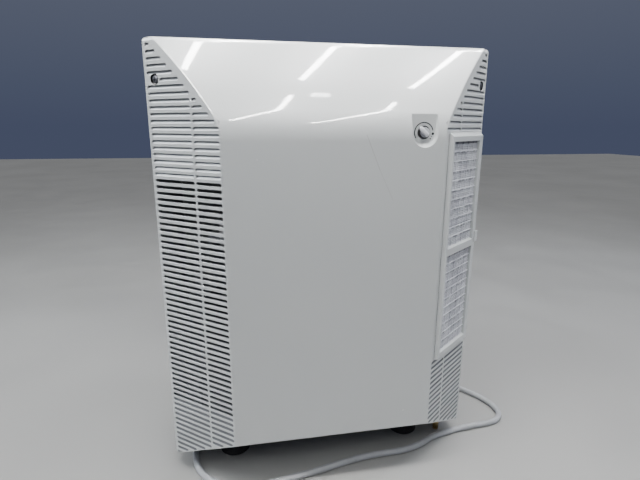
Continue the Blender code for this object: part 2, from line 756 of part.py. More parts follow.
def as_mesh(curve):
    """A mesh copy of a capped tube, welded shut. The curve itself is removed."""
    name = curve.name
    curve.name = name + "_curve"
    graph = bpy.context.evaluated_depsgraph_get()
    mesh = bpy.data.meshes.new_from_object(curve.evaluated_get(graph))
    bpy.data.objects.remove(curve)
    bm = bmesh.new()
    bm.from_mesh(mesh)
    bmesh.ops.remove_doubles(bm, verts=bm.verts, dist=1e-6)
    bmesh.ops.recalc_face_normals(bm, faces=bm.faces)
    bm.to_mesh(mesh)
    bm.free()
    obj = bpy.data.objects.new(name, mesh)
    bpy.context.scene.collection.objects.link(obj)
    return obj


def pipes():
    """The copper runs between compressor and coils, and the drier before the capillary."""
    end_y = COIL_Y[1] + GAP
    evaporator = sum(EVAPORATOR_X) / 2
    condenser = sum(CONDENSER_X) / 2
    spacing = 0.020
    top = 0.1995
    suction = (
        (COMPRESSOR_X + 0.012, COMPRESSOR_Y + 0.010, top),
        (COMPRESSOR_X + 0.012, COMPRESSOR_Y + 0.012, 0.216),
        (COMPRESSOR_X + 0.030, COMPRESSOR_Y + 0.050, 0.227),
        (-0.030, 0.130, 0.220),
        (0.040, 0.137, 0.211),
        (0.085, 0.1385, 0.206),
        (0.108, 0.136, 0.208),
        (evaporator, 0.128, 0.216),
        (evaporator, end_y + 0.006, 0.218),
        (evaporator, end_y, 0.218),
    )
    tube("suction_pipe", smooth_curve(suction, spacing), 0.0045, "copper", 1)
    discharge = (
        (COMPRESSOR_X + 0.030, COMPRESSOR_Y, top),
        (COMPRESSOR_X + 0.031, COMPRESSOR_Y + 0.010, 0.216),
        (COMPRESSOR_X + 0.050, COMPRESSOR_Y + 0.040, 0.234),
        (-0.030, 0.114, 0.236),
        (0.030, 0.130, 0.236),
        (0.062, 0.136, 0.248),
        (0.077, 0.133, 0.263),
        (condenser, 0.127, 0.270),
        (condenser, end_y + 0.005, 0.270),
        (condenser, end_y, 0.270),
    )
    tube("discharge_pipe", smooth_curve(discharge, spacing), 0.0032, "copper", 1)
    liquid = (
        (condenser, end_y, 0.218),
        (condenser, end_y + 0.006, 0.218),
        (condenser + 0.003, 0.1305, 0.220),
        (condenser + 0.011, 0.1345, 0.225),
        (DRIER_X, 0.134, 0.233),
        (DRIER_X, 0.134, 0.2397),
    )
    tube("liquid_line", smooth_curve(liquid, 0.008), 0.0030, "copper", 1)
    drier = ((0, 0.240), (0.003, 0.240), (0.009, 0.248), (0.009, 0.290), (0.003, 0.298), (0, 0.298))
    turned("filter_drier", drier, "copper", Matrix.Translation((DRIER_X, 0.134, 0)), 12)
    capillary = (
        (DRIER_X, 0.134, 0.2983),
        (DRIER_X, 0.134, 0.310),
        (0.104, 0.1365, 0.330),
        (0.112, 0.134, 0.352),
        (evaporator, 0.126, 0.369),
        (evaporator, end_y + 0.005, 0.374),
        (evaporator, end_y, 0.374),
    )
    tube("capillary_tube", smooth_curve(capillary, 0.010), 0.0015, "copper", 1)
    low = (evaporator - 0.009, end_y, 0.316)
    block("defrost_thermostat", low, (evaporator + 0.009, end_y + 0.010, 0.328), "grey_plastic")


# Fan


def fan_frame(x=0.0):
    """A placement on the fan's axis, whose local Z points towards the left wing."""
    return along((-1, 0, 0), (x, FAN_Y, FAN_Z))


def bulkhead_outline():
    """The bulkhead from the side, clear of the cover's slope and curve, as points of (y, z)."""
    bottom = PAN_FLOOR + GAP
    front = [(-0.090, 0.500), (-0.138, 0.425), (-0.138, 0.085), (-0.080, 0.036)]
    return [(-0.080, bottom), (0.135, bottom), (0.135, 0.500), *front]


def fan_bulkhead():
    """The plate that the fan blows through, with a collar and a notch for the pipes."""
    sheet = 0.002
    depth = 0.014
    steel = "painted_steel"
    axis = fan_frame(BULKHEAD_X)
    plate = prism("fan_bulkhead", bulkhead_outline(), BULKHEAD_X, BULKHEAD_X + sheet, steel, SIDE_VIEW)
    join(plate, cylinder("tool_collar", ORIFICE_RADIUS + sheet, -0.001, depth, steel, axis, 32))
    cut(plate, cylinder("tool_orifice", ORIFICE_RADIUS, -0.010, depth + 0.006, steel, axis, 32))
    low = (BULKHEAD_X - 0.01, *PIPE_NOTCH[0])
    high = (BULKHEAD_X + 0.01, *PIPE_NOTCH[1])
    return cut(plate, block("tool_pipe_notch", low, high, steel))


def blade_mesh(bm, turn):
    """One twisted blade, thin and closed, from inside the hub to the tip."""
    radial = (HUB_RADIUS - 0.002, 0.042, 0.063, BLADE_RADIUS)
    chord_steps = 3
    thickness = 0.0016
    rows = []
    for radius in radial:
        pitch = math.radians(52 - 340 * (radius - HUB_RADIUS))
        chord = 0.016 + 0.36 * (radius - HUB_RADIUS)
        row = []
        for layer in (-1, 1):
            for step in range(chord_steps + 1):
                along_chord = chord * (step / chord_steps - 0.5)
                camber = 0.10 * chord * (1 - (2 * along_chord / chord) ** 2)
                sweep = along_chord * math.cos(pitch)
                height = along_chord * math.sin(pitch) + camber + layer * thickness / 2
                angle = turn + sweep / radius
                row.append(bm.verts.new((radius * math.cos(angle), radius * math.sin(angle), height)))
        lower, upper = row[: chord_steps + 1], row[chord_steps + 1 :]
        rows.append(lower + upper[::-1])
    for inner, outer in zip(rows, rows[1:]):
        count = len(inner)
        for i in range(count):
            j = (i + 1) % count
            bm.faces.new((inner[i], inner[j], outer[j], outer[i]))
    bm.faces.new(rows[0])
    bm.faces.new(rows[-1])


def propeller():
    hub_x = BULKHEAD_X - 0.008
    place = fan_frame(hub_x)
    low, high = -0.008, 0.014
    fan = ring("propeller", SHAFT_RADIUS + GAP, HUB_RADIUS, low, high, "grey_plastic", place, 20)
    for i in range(BLADE_COUNT):
        bm = bmesh.new()
        blade_mesh(bm, 2 * math.pi * i / BLADE_COUNT)
        join(fan, finish_mesh(f"tool_blade_{i}", bm, "grey_plastic", place))
    shaft_far = hub_x - MOTOR_X[0] - 0.006
    cylinder("motor_shaft", SHAFT_RADIUS, low - 0.008, shaft_far, "zinc", place, 16)
    hex_nut("hub_nut", SHAFT_RADIUS + GAP, 0.0075, low - 0.0053, low - GAP, "zinc", place)


def fan_motor():
    """The motor with its open shaft bore and light end boss, and the four-legged bracket around it."""
    start = -MOTOR_X[1]
    end = -MOTOR_X[0]
    bore = SHAFT_RADIUS + GAP
    bore_end = end - 0.002
    profile = (
        (bore, start),
        (0.012, start),
        (0.014, start + 0.006),
        (MOTOR_RADIUS - 0.006, start + 0.008),
        (MOTOR_RADIUS, start + 0.013),
        (MOTOR_RADIUS, end - 0.008),
        (MOTOR_RADIUS - 0.005, end),
        (0.014, end + 0.002),
        (0.013, end + 0.016),
        (0, end + 0.016),
        (0, bore_end),
        (bore, bore_end),
    )
    motor = turned("fan_motor", profile, "zinc", fan_frame(), 24, closed=True)
    inner = MOTOR_RADIUS + GAP
    band_low = start + 0.022
    band_high = band_low + 0.012
    bracket = ring("motor_bracket", inner, inner + 0.002, band_low, band_high, "zinc", fan_frame(), 24)
    foot = -BULKHEAD_X + GAP
    root = inner + 0.001
    knee = 0.097
    toe = 0.112
    for i in range(4):
        spin = Matrix.Rotation(math.radians(90 * i), 4, "Z")
        leg = [(root, band_low), (root, band_low + 0.003), (knee + 0.003, band_low + 0.003)]
        leg += [(knee + 0.003, foot + 0.002), (toe, foot + 0.002), (toe, foot)]
        leg += [(knee, foot), (knee, band_low)]
        bm = bmesh.new()
        corners = [Vector((radius, -0.006, height)) for radius, height in leg]
        face = bm.faces.new([bm.verts.new(corner) for corner in corners])
        lifted = bmesh.ops.extrude_face_region(bm, geom=[face])["geom"]
        moved = [item for item in lifted if isinstance(item, bmesh.types.BMVert)]
        bmesh.ops.translate(bm, verts=moved, vec=(0, 0.012, 0))
        join(bracket, finish_mesh(f"tool_leg_{i}", bm, "zinc", fan_frame() @ spin))
    return motor


# Electrical parts


def electrics():
    bottom = PAN_FLOOR + GAP
    can_radius = 0.018
    spot = Matrix.Translation((0.040, 0.030, 0))
    cylinder("run_capacitor", can_radius, bottom, 0.095, "aluminium", spot, 20)
    strap = ring("capacitor_strap", can_radius + GAP, can_radius + 0.002, 0.050, 0.062, "zinc", spot, 20)
    join(strap, block("tool_strap_foot", (0.0590, 0.024, 0.050), (0.0610, 0.036, 0.062), "zinc"))
    block("terminal_box", (0.085, 0.040, bottom), (0.160, 0.118, 0.095), "grey_plastic")


# Mains lead


def strain_relief():
    place = along((0, 1, 0), (GLAND_X, BACK_Y, GLAND_Z))
    tip = RELIEF_FLANGE + RELIEF_LENGTH
    shank = GLAND_RADIUS - GAP
    shank_end = -0.012
    flange_radius = 0.0115
    profile = (
        (0, shank_end),
        (shank, shank_end),
        (shank, GAP),
        (flange_radius, GAP),
        (flange_radius, RELIEF_FLANGE),
        (0.0078, RELIEF_FLANGE),
        (0.0052, tip),
        (0, tip),
    )
    turned("strain_relief", profile, "grey_plastic", place, 20)
    hex_nut("gland_nut", GLAND_RADIUS, 0.0120, -0.0075, -BACK_SHEET - GAP, "zinc", place)


def cord_coil():
    """The outer shape of the wound turns: two layers, two turns wide."""
    inner = TURN_RADII[0] - CORD_RADIUS
    outer = TURN_RADII[1] + CORD_RADIUS
    top = COIL_FLOOR + 2 * CORD_DIAMETER
    round_off = 0.0025
    profile = (
        (inner, COIL_FLOOR + round_off),
        (inner + round_off, COIL_FLOOR),
        (outer - round_off, COIL_FLOOR),
        (outer, COIL_FLOOR + round_off),
        (outer, top - round_off),
        (outer - round_off, top),
        (inner + round_off, top),
        (inner, top - round_off),
    )
    turned("cord_coil", profile, "cord", Matrix.Translation((*COIL_CENTRE, 0)), 32, closed=True)


def cord_tie():
    """A flat strap closed around one side of the coil."""
    thickness = 0.0007
    half_width = 0.006
    centre_x, centre_y = COIL_CENTRE
    inner = centre_x + TURN_RADII[0] - CORD_RADIUS - 0.0010
    outer = centre_x + TURN_RADII[1] + CORD_RADIUS + GAP
    low = COIL_FLOOR - GAP
    high = COIL_FLOOR + 2 * CORD_DIAMETER + GAP
    tie = block(
        "cord_tie",
        (inner - thickness, centre_y - half_width, low - thickness),
        (outer + thickness, centre_y + half_width, high + thickness),
        "rubber",
    )
    inside = block("tool_tie", (inner, centre_y - 0.02, low), (outer, centre_y + 0.02, high), "rubber")
    return cut(tie, inside)


def plug():
    """A moulded plug with two flat blades, lying beside the coil on its far side."""
    axis_z = COIL_FLOOR + 3 * CORD_RADIUS
    start_x = COIL_CENTRE[0] + 0.0288
    centre_y = COIL_CENTRE[1] + TURN_RADII[1]
    place = along((1, 0, 0), (start_x, centre_y, axis_z))
    relief = 0.025
    blade_offset = 0.00635
    half = axis_z - 0.0002
    profile = ((0, 0), (0.0046, 0), (0.0070, relief), (half * 0.8, relief + 0.004), (0, relief + 0.004))
    body = turned("mains_plug", profile, "grey_plastic", place, 16)
    shell_low = (start_x + relief, centre_y - half, axis_z - half)
    shell_high = (start_x + relief + 0.033, centre_y + half, axis_z + half)
    shell = block("tool_plug_body", shell_low, shell_high, "grey_plastic")
    bevel = shell.modifiers.new("rounding", "BEVEL")
    bevel.width = 0.004
    bevel.segments = 2
    join(body, shell)
    blade_base = shell_high[0] - 0.001
    for i, offset in enumerate((-blade_offset, blade_offset)):
        low = (blade_base, centre_y + offset - 0.00075, axis_z - 0.0031)
        high = (blade_base + 0.0175, centre_y + offset + 0.00075, axis_z + 0.0031)
        join(body, block(f"tool_blade_pin_{i}", low, high, "grey_plastic"))
    return body


def mains_lead():
    strain_relief()
    route = smooth_curve(CORD_ROUTE, 2.5 * CORD_DIAMETER)
    route[:, 2] = np.maximum(route[:, 2], CORD_RADIUS)
    tube("power_cord", route, CORD_RADIUS, "cord", 2)
    cord_coil()
    cord_tie()
    plug()


def main():
    clear_scene()
    front_cover()
    for name, side in SIDES.items():
        cover_screw(f"cover_screw_{name}", side)
        cover_bracket(f"cover_bracket_{name}", side)
    filter_frame()
    filter_nets()
    humidistat()
    cabinet()
    feet()
    drain()
    compressor()
    fin_coil("evaporator_coil", EVAPORATOR_X, 5)
    fin_coil("condenser_coil", CONDENSER_X, 5)
    pipes()
    fan_bulkhead()
    propeller()
    fan_motor()
    electrics()
    mains_lead()


main()
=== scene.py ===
import json
import math

import bmesh
import bpy
import numpy as np
from mathutils import Matrix, Vector


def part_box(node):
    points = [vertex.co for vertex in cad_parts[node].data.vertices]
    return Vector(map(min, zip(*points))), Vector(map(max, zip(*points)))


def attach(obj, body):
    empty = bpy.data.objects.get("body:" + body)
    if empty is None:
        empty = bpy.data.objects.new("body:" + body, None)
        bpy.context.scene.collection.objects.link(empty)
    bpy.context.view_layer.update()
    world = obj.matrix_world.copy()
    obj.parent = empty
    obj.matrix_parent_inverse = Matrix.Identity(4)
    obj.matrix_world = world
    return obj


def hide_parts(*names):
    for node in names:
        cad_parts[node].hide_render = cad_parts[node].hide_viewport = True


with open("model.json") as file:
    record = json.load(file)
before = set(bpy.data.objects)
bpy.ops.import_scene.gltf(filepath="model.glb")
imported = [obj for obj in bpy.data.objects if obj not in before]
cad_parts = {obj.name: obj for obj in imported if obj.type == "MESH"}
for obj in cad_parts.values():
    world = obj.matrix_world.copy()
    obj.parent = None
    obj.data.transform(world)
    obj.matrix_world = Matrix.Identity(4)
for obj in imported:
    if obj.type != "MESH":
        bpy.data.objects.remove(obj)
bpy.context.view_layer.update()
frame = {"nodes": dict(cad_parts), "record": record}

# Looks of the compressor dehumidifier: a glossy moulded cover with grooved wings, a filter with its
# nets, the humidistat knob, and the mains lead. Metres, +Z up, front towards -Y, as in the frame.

NODES = frame["nodes"]

# Camera: where it stands, which way it looks and how wide it sees
CAMERA_PLACE = Vector((-0.1074, -0.6195, 0.4331))
CAMERA_YAW = 0.1857
CAMERA_PITCH = 0.2461
CAMERA_ROLL = -0.0031
CAMERA_LENS = 25.56
SENSOR = 36.0

# The cover, from the frame and the part's driving dimensions
COVER_LOW, COVER_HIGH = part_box("front_cover")
HALF_WIDTH = COVER_HIGH.x
FRONT_Y = COVER_LOW.y
TOP_Z = COVER_HIGH.z
RIM_BOTTOM = COVER_LOW.z
LIP_BACK = COVER_HIGH.y
COVER_LIP = 0.012
RIM_Y = LIP_BACK - COVER_LIP
FACE_HALF = 0.1196
WING_ANGLE = math.atan2(RIM_Y - FRONT_Y, HALF_WIDTH - FACE_HALF)
WING_WIDTH = (HALF_WIDTH - FACE_HALF) / math.cos(WING_ANGLE)
FACE_BOTTOM = 0.0665
COVER_WALL = 0.003
SHOULDER_RADII = (0.07, 0.476, 0.014)
SHOULDER_LEANS = tuple(math.radians(lean) for lean in (0, 27.1, 36.7, 90))
EDGE_ROUNDING = 0.0045
LOWER_ROUNDING = 0.003
ROUNDING_REACH = 0.015
SHARPEST_EDGE = 0.0008
FACE_FILLET = 0.005
TOP_ROUNDING = 0.005
SIDES = {"left": -1, "right": 1}

# Louvre rows, counted down from the top. Going up from SHOULDER_ROW, each starts ROW_STEP further out
ROW_PITCH = 0.007
TOP_ROW_Z = 0.514
SHOULDER_ROW = 12
SHOULDER_FOOT = TOP_ROW_Z - (SHOULDER_ROW - 1) * ROW_PITCH
ROW_STEP = 0.00743
ROW_SLANT = ROW_STEP / ROW_PITCH
SLOT_HALF = 0.00175
LAST_ROW = 70
COLUMN_SPLIT = (0.0358, 0.0378)
COLUMN_END = 0.0956
SHOULDER_START = 0.007
EDGE_START = 0.0016
UNDERSIDE_START = 0.0028
SHORTEST_GROOVE = 0.0045
FILTER_SLOTS = (0.0075, 0.0915)
OPEN_ROWS = {"left": (21, 59), "right": (14, 52)}

# Humidistat and screws
KNOB_LOW, KNOB_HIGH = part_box("humidistat_knob")
KNOB_X = (KNOB_LOW.x + KNOB_HIGH.x) / 2
KNOB_Z = (KNOB_LOW.z + KNOB_HIGH.z) / 2
KNOB_RADIUS = (KNOB_HIGH.x - KNOB_LOW.x) / 2
KNOB_BACK = KNOB_HIGH.y - FRONT_Y
KNOB_FRONT = 0.0025
KNOB_BAND = 0.0053
POINTER_TURN = math.radians(42)
POINTER_HALF = 0.0022
POINTER_REACH = (-0.0052, 0.0084)
KNOB_HOLE = 0.0073
RECESS_HALF = 0.0144
RECESS_FLARE = 0.0013
RECESS_TOP = 0.448
RECESS_FLOOR = 0.006
RECESS_ARC_Z = KNOB_Z - 0.0015
SCREW_ALONG = 0.085
SCREW_Z = 0.4797
COUNTERBORE = 0.00575
SCREW_MARGIN = 0.0018

# Filter, as distances along the right wing, heights and depths below the wing's surface
FILTER_SPAN = (0.0068, 0.0925)
FILTER_Z = (0.1532, 0.4265)
FILTER_PROUD = 0.005
WINDOW_SPAN = (0.0123, 0.083)
WINDOW_ROWS = ((0.164, 0.285), (0.296, 0.4165))
NET_DEPTH = -0.0016
NET_MARGIN = 0.001
RIB_PITCH = 0.011
TAB_HALF = 0.004
TAB_PROUD = 0.0012
TAB_BACK = -0.001
TAB_Z = (0.289, 0.303)

# Mains lead
CORD_DIAMETER = 0.008
CORD_RADIUS = CORD_DIAMETER / 2
GLAND_X = 0.14
GLAND_Z = 0.05
CORD_EXIT_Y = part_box("strain_relief")[1].y + 0.0003
COIL_CENTRE = (-0.127, 0.217)
COIL_FLOOR = 0.0012
INNER_TURN = 0.04
OUTER_TURN = 0.048
PLUG_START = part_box("mains_plug")[0].x
LEAD_TO_FLOOR = (
    (0.14, CORD_EXIT_Y, GLAND_Z),
    (0.14, CORD_EXIT_Y + 0.008, GLAND_Z - 0.0002),
    (0.1405, 0.211, 0.047),
    (0.143, 0.228, 0.0385),
    (0.15, 0.245, 0.0265),
    (0.162, 0.259, 0.015),
    (0.179, 0.267, 0.0075),
    (0.198, 0.2655, 0.0045),
)
LEAD_ON_FLOOR = (
    (0.213, 0.254), (0.221, 0.235), (0.222, 0.212), (0.217, 0.168),
    (0.211, 0.12), (0.213, 0.082), (0.228, 0.044), (0.25, 0.01),
    (0.269, -0.017), (0.2785, -0.04), (0.279, -0.062), (0.2665, -0.079),
    (0.243, -0.0848), (0.215, -0.087), (0.1929, -0.0898), (0.173, -0.0937),
    (0.156, -0.098), (0.13, -0.11), (0.104, -0.117), (0.069, -0.1185),
    (0.03, -0.123), (-0.01, -0.132), (-0.05, -0.1395), (-0.09, -0.144),
    (-0.125, -0.14), (-0.153, -0.125), (-0.1685, -0.102), (-0.1745, -0.072),
    (-0.177, -0.02), (-0.176, 0.05), (-0.1745, 0.11),
)
LEAD_TO_COIL = (
    (-0.1748, 0.15, CORD_RADIUS + COIL_FLOOR / 3),
    (-0.175, 0.175, CORD_RADIUS + COIL_FLOOR),
    (-0.175, 0.1888, CORD_RADIUS + COIL_FLOOR),
)
CORD_ROUTE = (*LEAD_TO_FLOOR, *((x, y, CORD_RADIUS) for x, y in LEAD_ON_FLOOR), *LEAD_TO_COIL)

# Scratches and specks on the face: two ends as (x, z), width, strength and colour
COVER_MARKS = (
    ((0.0305, 0.424), (0.0459, 0.3875), 0.00045, 0.6, (0.36, 0.35, 0.33)),
    ((0.0459, 0.3875), (0.0619, 0.3547), 0.00035, 0.45, (0.4, 0.39, 0.37)),
    ((-0.0845, 0.3996), (-0.0841, 0.3993), 0.0008, 0.9, (0.9, 0.91, 0.9)),
    ((-0.0784, 0.3974), (-0.078, 0.3971), 0.0007, 0.8, (0.9, 0.91, 0.9)),
    ((0.0862, 0.0901), (0.0872, 0.0905), 0.001, 0.9, (0.92, 0.92, 0.91)),
)

# Ceiling tubes: two ends as (x, y), width and brightness
CEILING = 2.0
TUBES = {
    "tube_left": ((-0.3, -0.64), (-0.07, 0.42), 0.03, 260.0),
    "tube_middle": ((0.205, -0.74), (0.5, 0.35), 0.03, 260.0),
    "tube_right": ((0.74, -0.83), (1.08, 0.35), 0.03, 260.0),
    "tube_near_left": ((-0.11, -2.3), (0.172, -0.96), 0.03, 230.0),
    "tube_near_right": ((0.48, -2.75), (0.7, -1.05), 0.03, 230.0),
    "tube_starter": ((0.265, -0.95), (0.355, -0.95), 0.06, 90.0),
    "tube_far_left": ((-0.235, 0.7), (0.06, 0.76), 0.09, 800.0),
    "tube_far_right": ((0.42, 0.7), (0.64, 0.76), 0.09, 800.0),
}

# Soft lights: place, target, size, power and colour
SOFT_LIGHTS = {
    "boom": ((0, -0.26, 0.94), (0, -0.2, 0.4), (0.9, 0.1), 8.5, (1, 1, 1)),
    "side_left": ((-1.3, 0.08, 1.15), (0, 0, 0.25), (0.6, 0.6), 12.0, (0.88, 0.94, 1.0)),
    "side_right": ((1.3, 0.08, 1.15), (0, 0, 0.25), (0.6, 0.6), 6.5, (0.8, 0.86, 1.0)),
    "kicker": ((-1.15, -1.0, 1.5), (0, 0, 0.25), (0.4, 0.8), 100.0, (1, 1, 1)),
}
WORLD_STOPS = ((0.0, (0.075, 0.09, 0.15)), (0.45, (0.15, 0.17, 0.22)), (1.0, (1.0, 1.0, 0.98)))
WORLD_STRENGTH = 0.85
FLOOR_HALF = 6.0
FLOOR_CELLS = 12

NEAR_AXIS = 0.0001
SHARP = 35.0
# Near black, for painted shadow in the holes and around the knob
SHADOW_BLACK = (0.012, 0.012, 0.014)


# Materials


class Look:
    """A node material being built, with short ways to add nodes."""

    def __init__(self, name="look", **sockets):
        self.material = bpy.data.materials.new(name)
        self.material.use_nodes = True
        self.tree = self.material.node_tree
        self.shader = self.tree.nodes["Principled BSDF"]
        for socket, value in sockets.items():
            self.shader.inputs[socket.replace("_", " ")].default_value = value
        self.place = self.node("ShaderNodeTexCoord").outputs["Object"]
        self.height = None

    def node(self, kind, inputs=None, **settings):
        made = self.tree.nodes.new(kind)
        for name, value in settings.items():
            setattr(made, name, value)
        for key, value in (inputs or {}).items():
            if isinstance(value, bpy.types.NodeSocket):
                self.tree.links.new(value, made.inputs[key])
            else:
                made.inputs[key].default_value = value
        return made

    def math(self, operation, *values):
        return self.node("ShaderNodeMath", dict(enumerate(values)), operation=operation).outputs[0]

    def vector(self, operation, *values, output=0):
        inputs = dict(enumerate(values))
        return self.node("ShaderNodeVectorMath", inputs, operation=operation).outputs[output]

    def product(self, *masks):
        result = masks[0]
        for mask in masks[1:]:
            result = self.math("MULTIPLY", result, mask)
        return result

    def axis(self, name):
        """The X, Y or Z of the point."""
        return self.node("ShaderNodeSeparateXYZ", {0: self.place}).outputs[name]

    def noise(self, scale, detail=4.0, roughness=0.5, stretch=None):
        place = self.place
        if stretch is not None:
            place = self.vector("MULTIPLY", place, stretch)
        settings = {"Scale": scale, "Detail": detail, "Roughness": roughness}
        return self.node("ShaderNodeTexNoise", {"Vector": place, **settings}).outputs["Fac"]

    def ramp(self, value, low, high, start=0.0, end=1.0):
        """The value mapped from one span to another, clamped and eased at both ends."""
        inputs = {"Value": value, "From Min": low, "From Max": high, "To Min": start, "To Max": end}
        return self.node("ShaderNodeMapRange", inputs, interpolation_type="SMOOTHSTEP").outputs[0]

    def cloud(self, *noise):
        """Soft patches, from the middle of a noise."""
        return self.ramp(self.noise(*noise), 0.3, 0.7)

    def rough(self, scale, low, high):
        """Makes the roughness vary softly from low to high."""
        self.feed("Roughness", self.ramp(self.noise(scale), 0.3, 0.7, low, high))

    def mix(self, share, first, second):
        made = self.node("ShaderNodeMix", {"Factor": share}, data_type="RGBA")
        for socket, colour in ((made.inputs[6], first), (made.inputs[7], second)):
            if isinstance(colour, bpy.types.NodeSocket):
                self.tree.links.new(colour, socket)
            else:
                socket.default_value = (*colour, 1)
        return made.outputs[2]

    def feed(self, socket, value):
        self.tree.links.new(value, self.shader.inputs[socket])

    def paint(self, colour):
        self.feed("Base Color", colour)

    def bump(self, height, distance, strength):
        """Adds a relief, on top of any that came before."""
        inputs = {"Height": height, "Distance": distance, "Strength": strength}
        if self.height is not None:
            inputs["Normal"] = self.height
        self.height = self.node("ShaderNodeBump", inputs).outputs[0]
        self.feed("Normal", self.height)


def line_mask(look, start, end, width):
    """Where the surface is near a line from start to end, seen from the front."""
    flat = look.vector("MULTIPLY", look.place, (1, 0, 1))
    start = Vector((start[0], 0, start[1]))
    run = Vector((end[0], 0, end[1])) - start
    away = look.vector("SUBTRACT", flat, start)
    share = look.vector("DOT_PRODUCT", away, run / run.length_squared, output=1)
    share = look.math("MAXIMUM", look.math("MINIMUM", share, 1.0), 0.0)
    nearest = look.node("ShaderNodeVectorMath", {0: run, 3: share}, operation="SCALE").outputs[0]
    distance = look.vector("DISTANCE", away, nearest, output=1)
    return look.ramp(distance, 0.0, width, 1.0, 0.0)


def add_wear(look, colour, wear):
    """Mixes marks (mask, colour) into a colour, one after another."""
    for mask, tint in wear:
        colour = look.mix(mask, colour, tint)
    return colour


def on_wing(look):
    """A point's distance along its wing, its depth below the wing's surface, and its height."""
    out = look.math("SUBTRACT", look.math("ABSOLUTE", look.axis("X")), FACE_HALF)
    back = look.math("SUBTRACT", look.axis("Y"), FRONT_Y)
    sine, cosine = math.sin(WING_ANGLE), math.cos(WING_ANGLE)
    distance = look.math("ADD", look.product(out, cosine), look.product(back, sine))
    depth = look.math("SUBTRACT", look.product(back, cosine), look.product(out, sine))
    return distance, depth, look.axis("Z")


def painted_groove_shade(look):
    """Painted shade in the wings' grooves: darkest where they are deep, and lower down all over."""
    distance, depth, height = on_wing(look)
    past_shoulder = look.math("MAXIMUM", look.math("SUBTRACT", height, SHOULDER_FOOT), 0.0)
    past_face = look.math("MAXIMUM", look.math("SUBTRACT", FACE_BOTTOM, height), 0.0)
    start = look.math("MULTIPLY_ADD", past_shoulder, ROW_SLANT, EDGE_START + 0.0002)
    start = look.math("MULTIPLY_ADD", past_face, WING_WIDTH / (FACE_BOTTOM - RIM_BOTTOM), start)
    begun = look.ramp(look.math("SUBTRACT", distance, start), -0.0005, 0.0005)
    ended = look.ramp(distance, COLUMN_END + 0.0006, COLUMN_END + 0.0014, 1.0, 0.0)
    deep = look.ramp(depth, 0.0003, 0.0024)
    low_down = look.ramp(height, 0.12, 0.26, 0.72, 0.0)
    shallow = look.product(look.ramp(depth, 0.0001, 0.0004), low_down)
    return look.product(begun, ended, look.math("MAXIMUM", deep, shallow))


def hole_shade(look):
    """Painted shade: the screws' counterbores and the hole behind the knob, coloured black for the shadow in
    them.
    """
    distance, depth, height = on_wing(look)
    beside = look.math("SUBTRACT", distance, SCREW_ALONG)
    above = look.math("SUBTRACT", height, SCREW_Z)
    squares = look.math("ADD", look.math("POWER", beside, 2.0), look.math("POWER", above, 2.0))
    near = look.math("LESS_THAN", look.math("SQRT", squares), COUNTERBORE + 0.00015)
    bore = look.product(near, look.ramp(depth, 0.0003, 0.0008))
    flat = look.vector("MULTIPLY", look.place, (1, 0, 1))
    away = look.vector("DISTANCE", flat, (KNOB_X, 0, KNOB_Z), output=1)
    behind = look.math("GREATER_THAN", look.axis("Y"), FRONT_Y + RECESS_FLOOR + 0.0002)
    hole = look.product(look.math("LESS_THAN", away, KNOB_HOLE + 0.0001), behind)
    return look.math("MAXIMUM", bore, hole)


def ivory_plastic(marks):
    """Glossy moulded plastic: mottle, smears, specks, marks and ripple, darker in patches low down, with
    painted shade in the grooves and holes.
    """
    look = Look(Roughness=0.3, IOR=1.49, Coat_Weight=0.65, Coat_Roughness=0.035)
    cloud = look.cloud(9.0, 3.0)
    colour = look.mix(cloud, (0.694, 0.715, 0.709), (0.71, 0.729, 0.719))
    speck = look.ramp(look.noise(620.0, 2.0), 0.735, 0.8)
    smear = look.ramp(look.noise(34.0, 5.0, 0.6, (1.0, 1.0, 0.35)), 0.55, 0.78, 0.0, 0.05)
    colour = add_wear(look, colour, ((smear, (0.6, 0.62, 0.63)), (speck, (0.42, 0.41, 0.38))))
    height = look.axis("Z")
    # Darker in patches towards the bottom.
    darker_low_down = look.ramp(height, 0.03, 0.16, 0.22, 0.0)
    colour = look.mix(look.product(darker_low_down, cloud), colour, (0.52, 0.52, 0.5))
    for start, end, width, strength, tint in marks:
        mask = look.product(line_mask(look, start, end, width), strength)
        colour = look.mix(mask, colour, tint)
    # Painted shade in the grooves: dark where they are deep, near black lower down the wings.
    groove_shade = painted_groove_shade(look)
    colour = look.mix(look.product(groove_shade, 0.8), colour, (0.15, 0.155, 0.185))
    low_groove_shade = look.ramp(height, 0.2, 0.32, 0.62, 0.0)
    colour = look.mix(look.product(groove_shade, low_groove_shade), colour, (0.03, 0.032, 0.04))
    # Painted shade: black in the screws' counterbores and in the hole behind the knob.
    look.paint(look.mix(hole_shade(look), colour, SHADOW_BLACK))
    look.feed("Roughness", look.ramp(look.noise(55.0, 4.0, 0.6), 0.35, 0.75, 0.28, 0.33))
    look.bump(look.noise(26.0, 2.0), 0.0006, 0.035)
    look.bump(look.noise(1500.0, 2.0), 0.00002, 0.25)
    return look.material


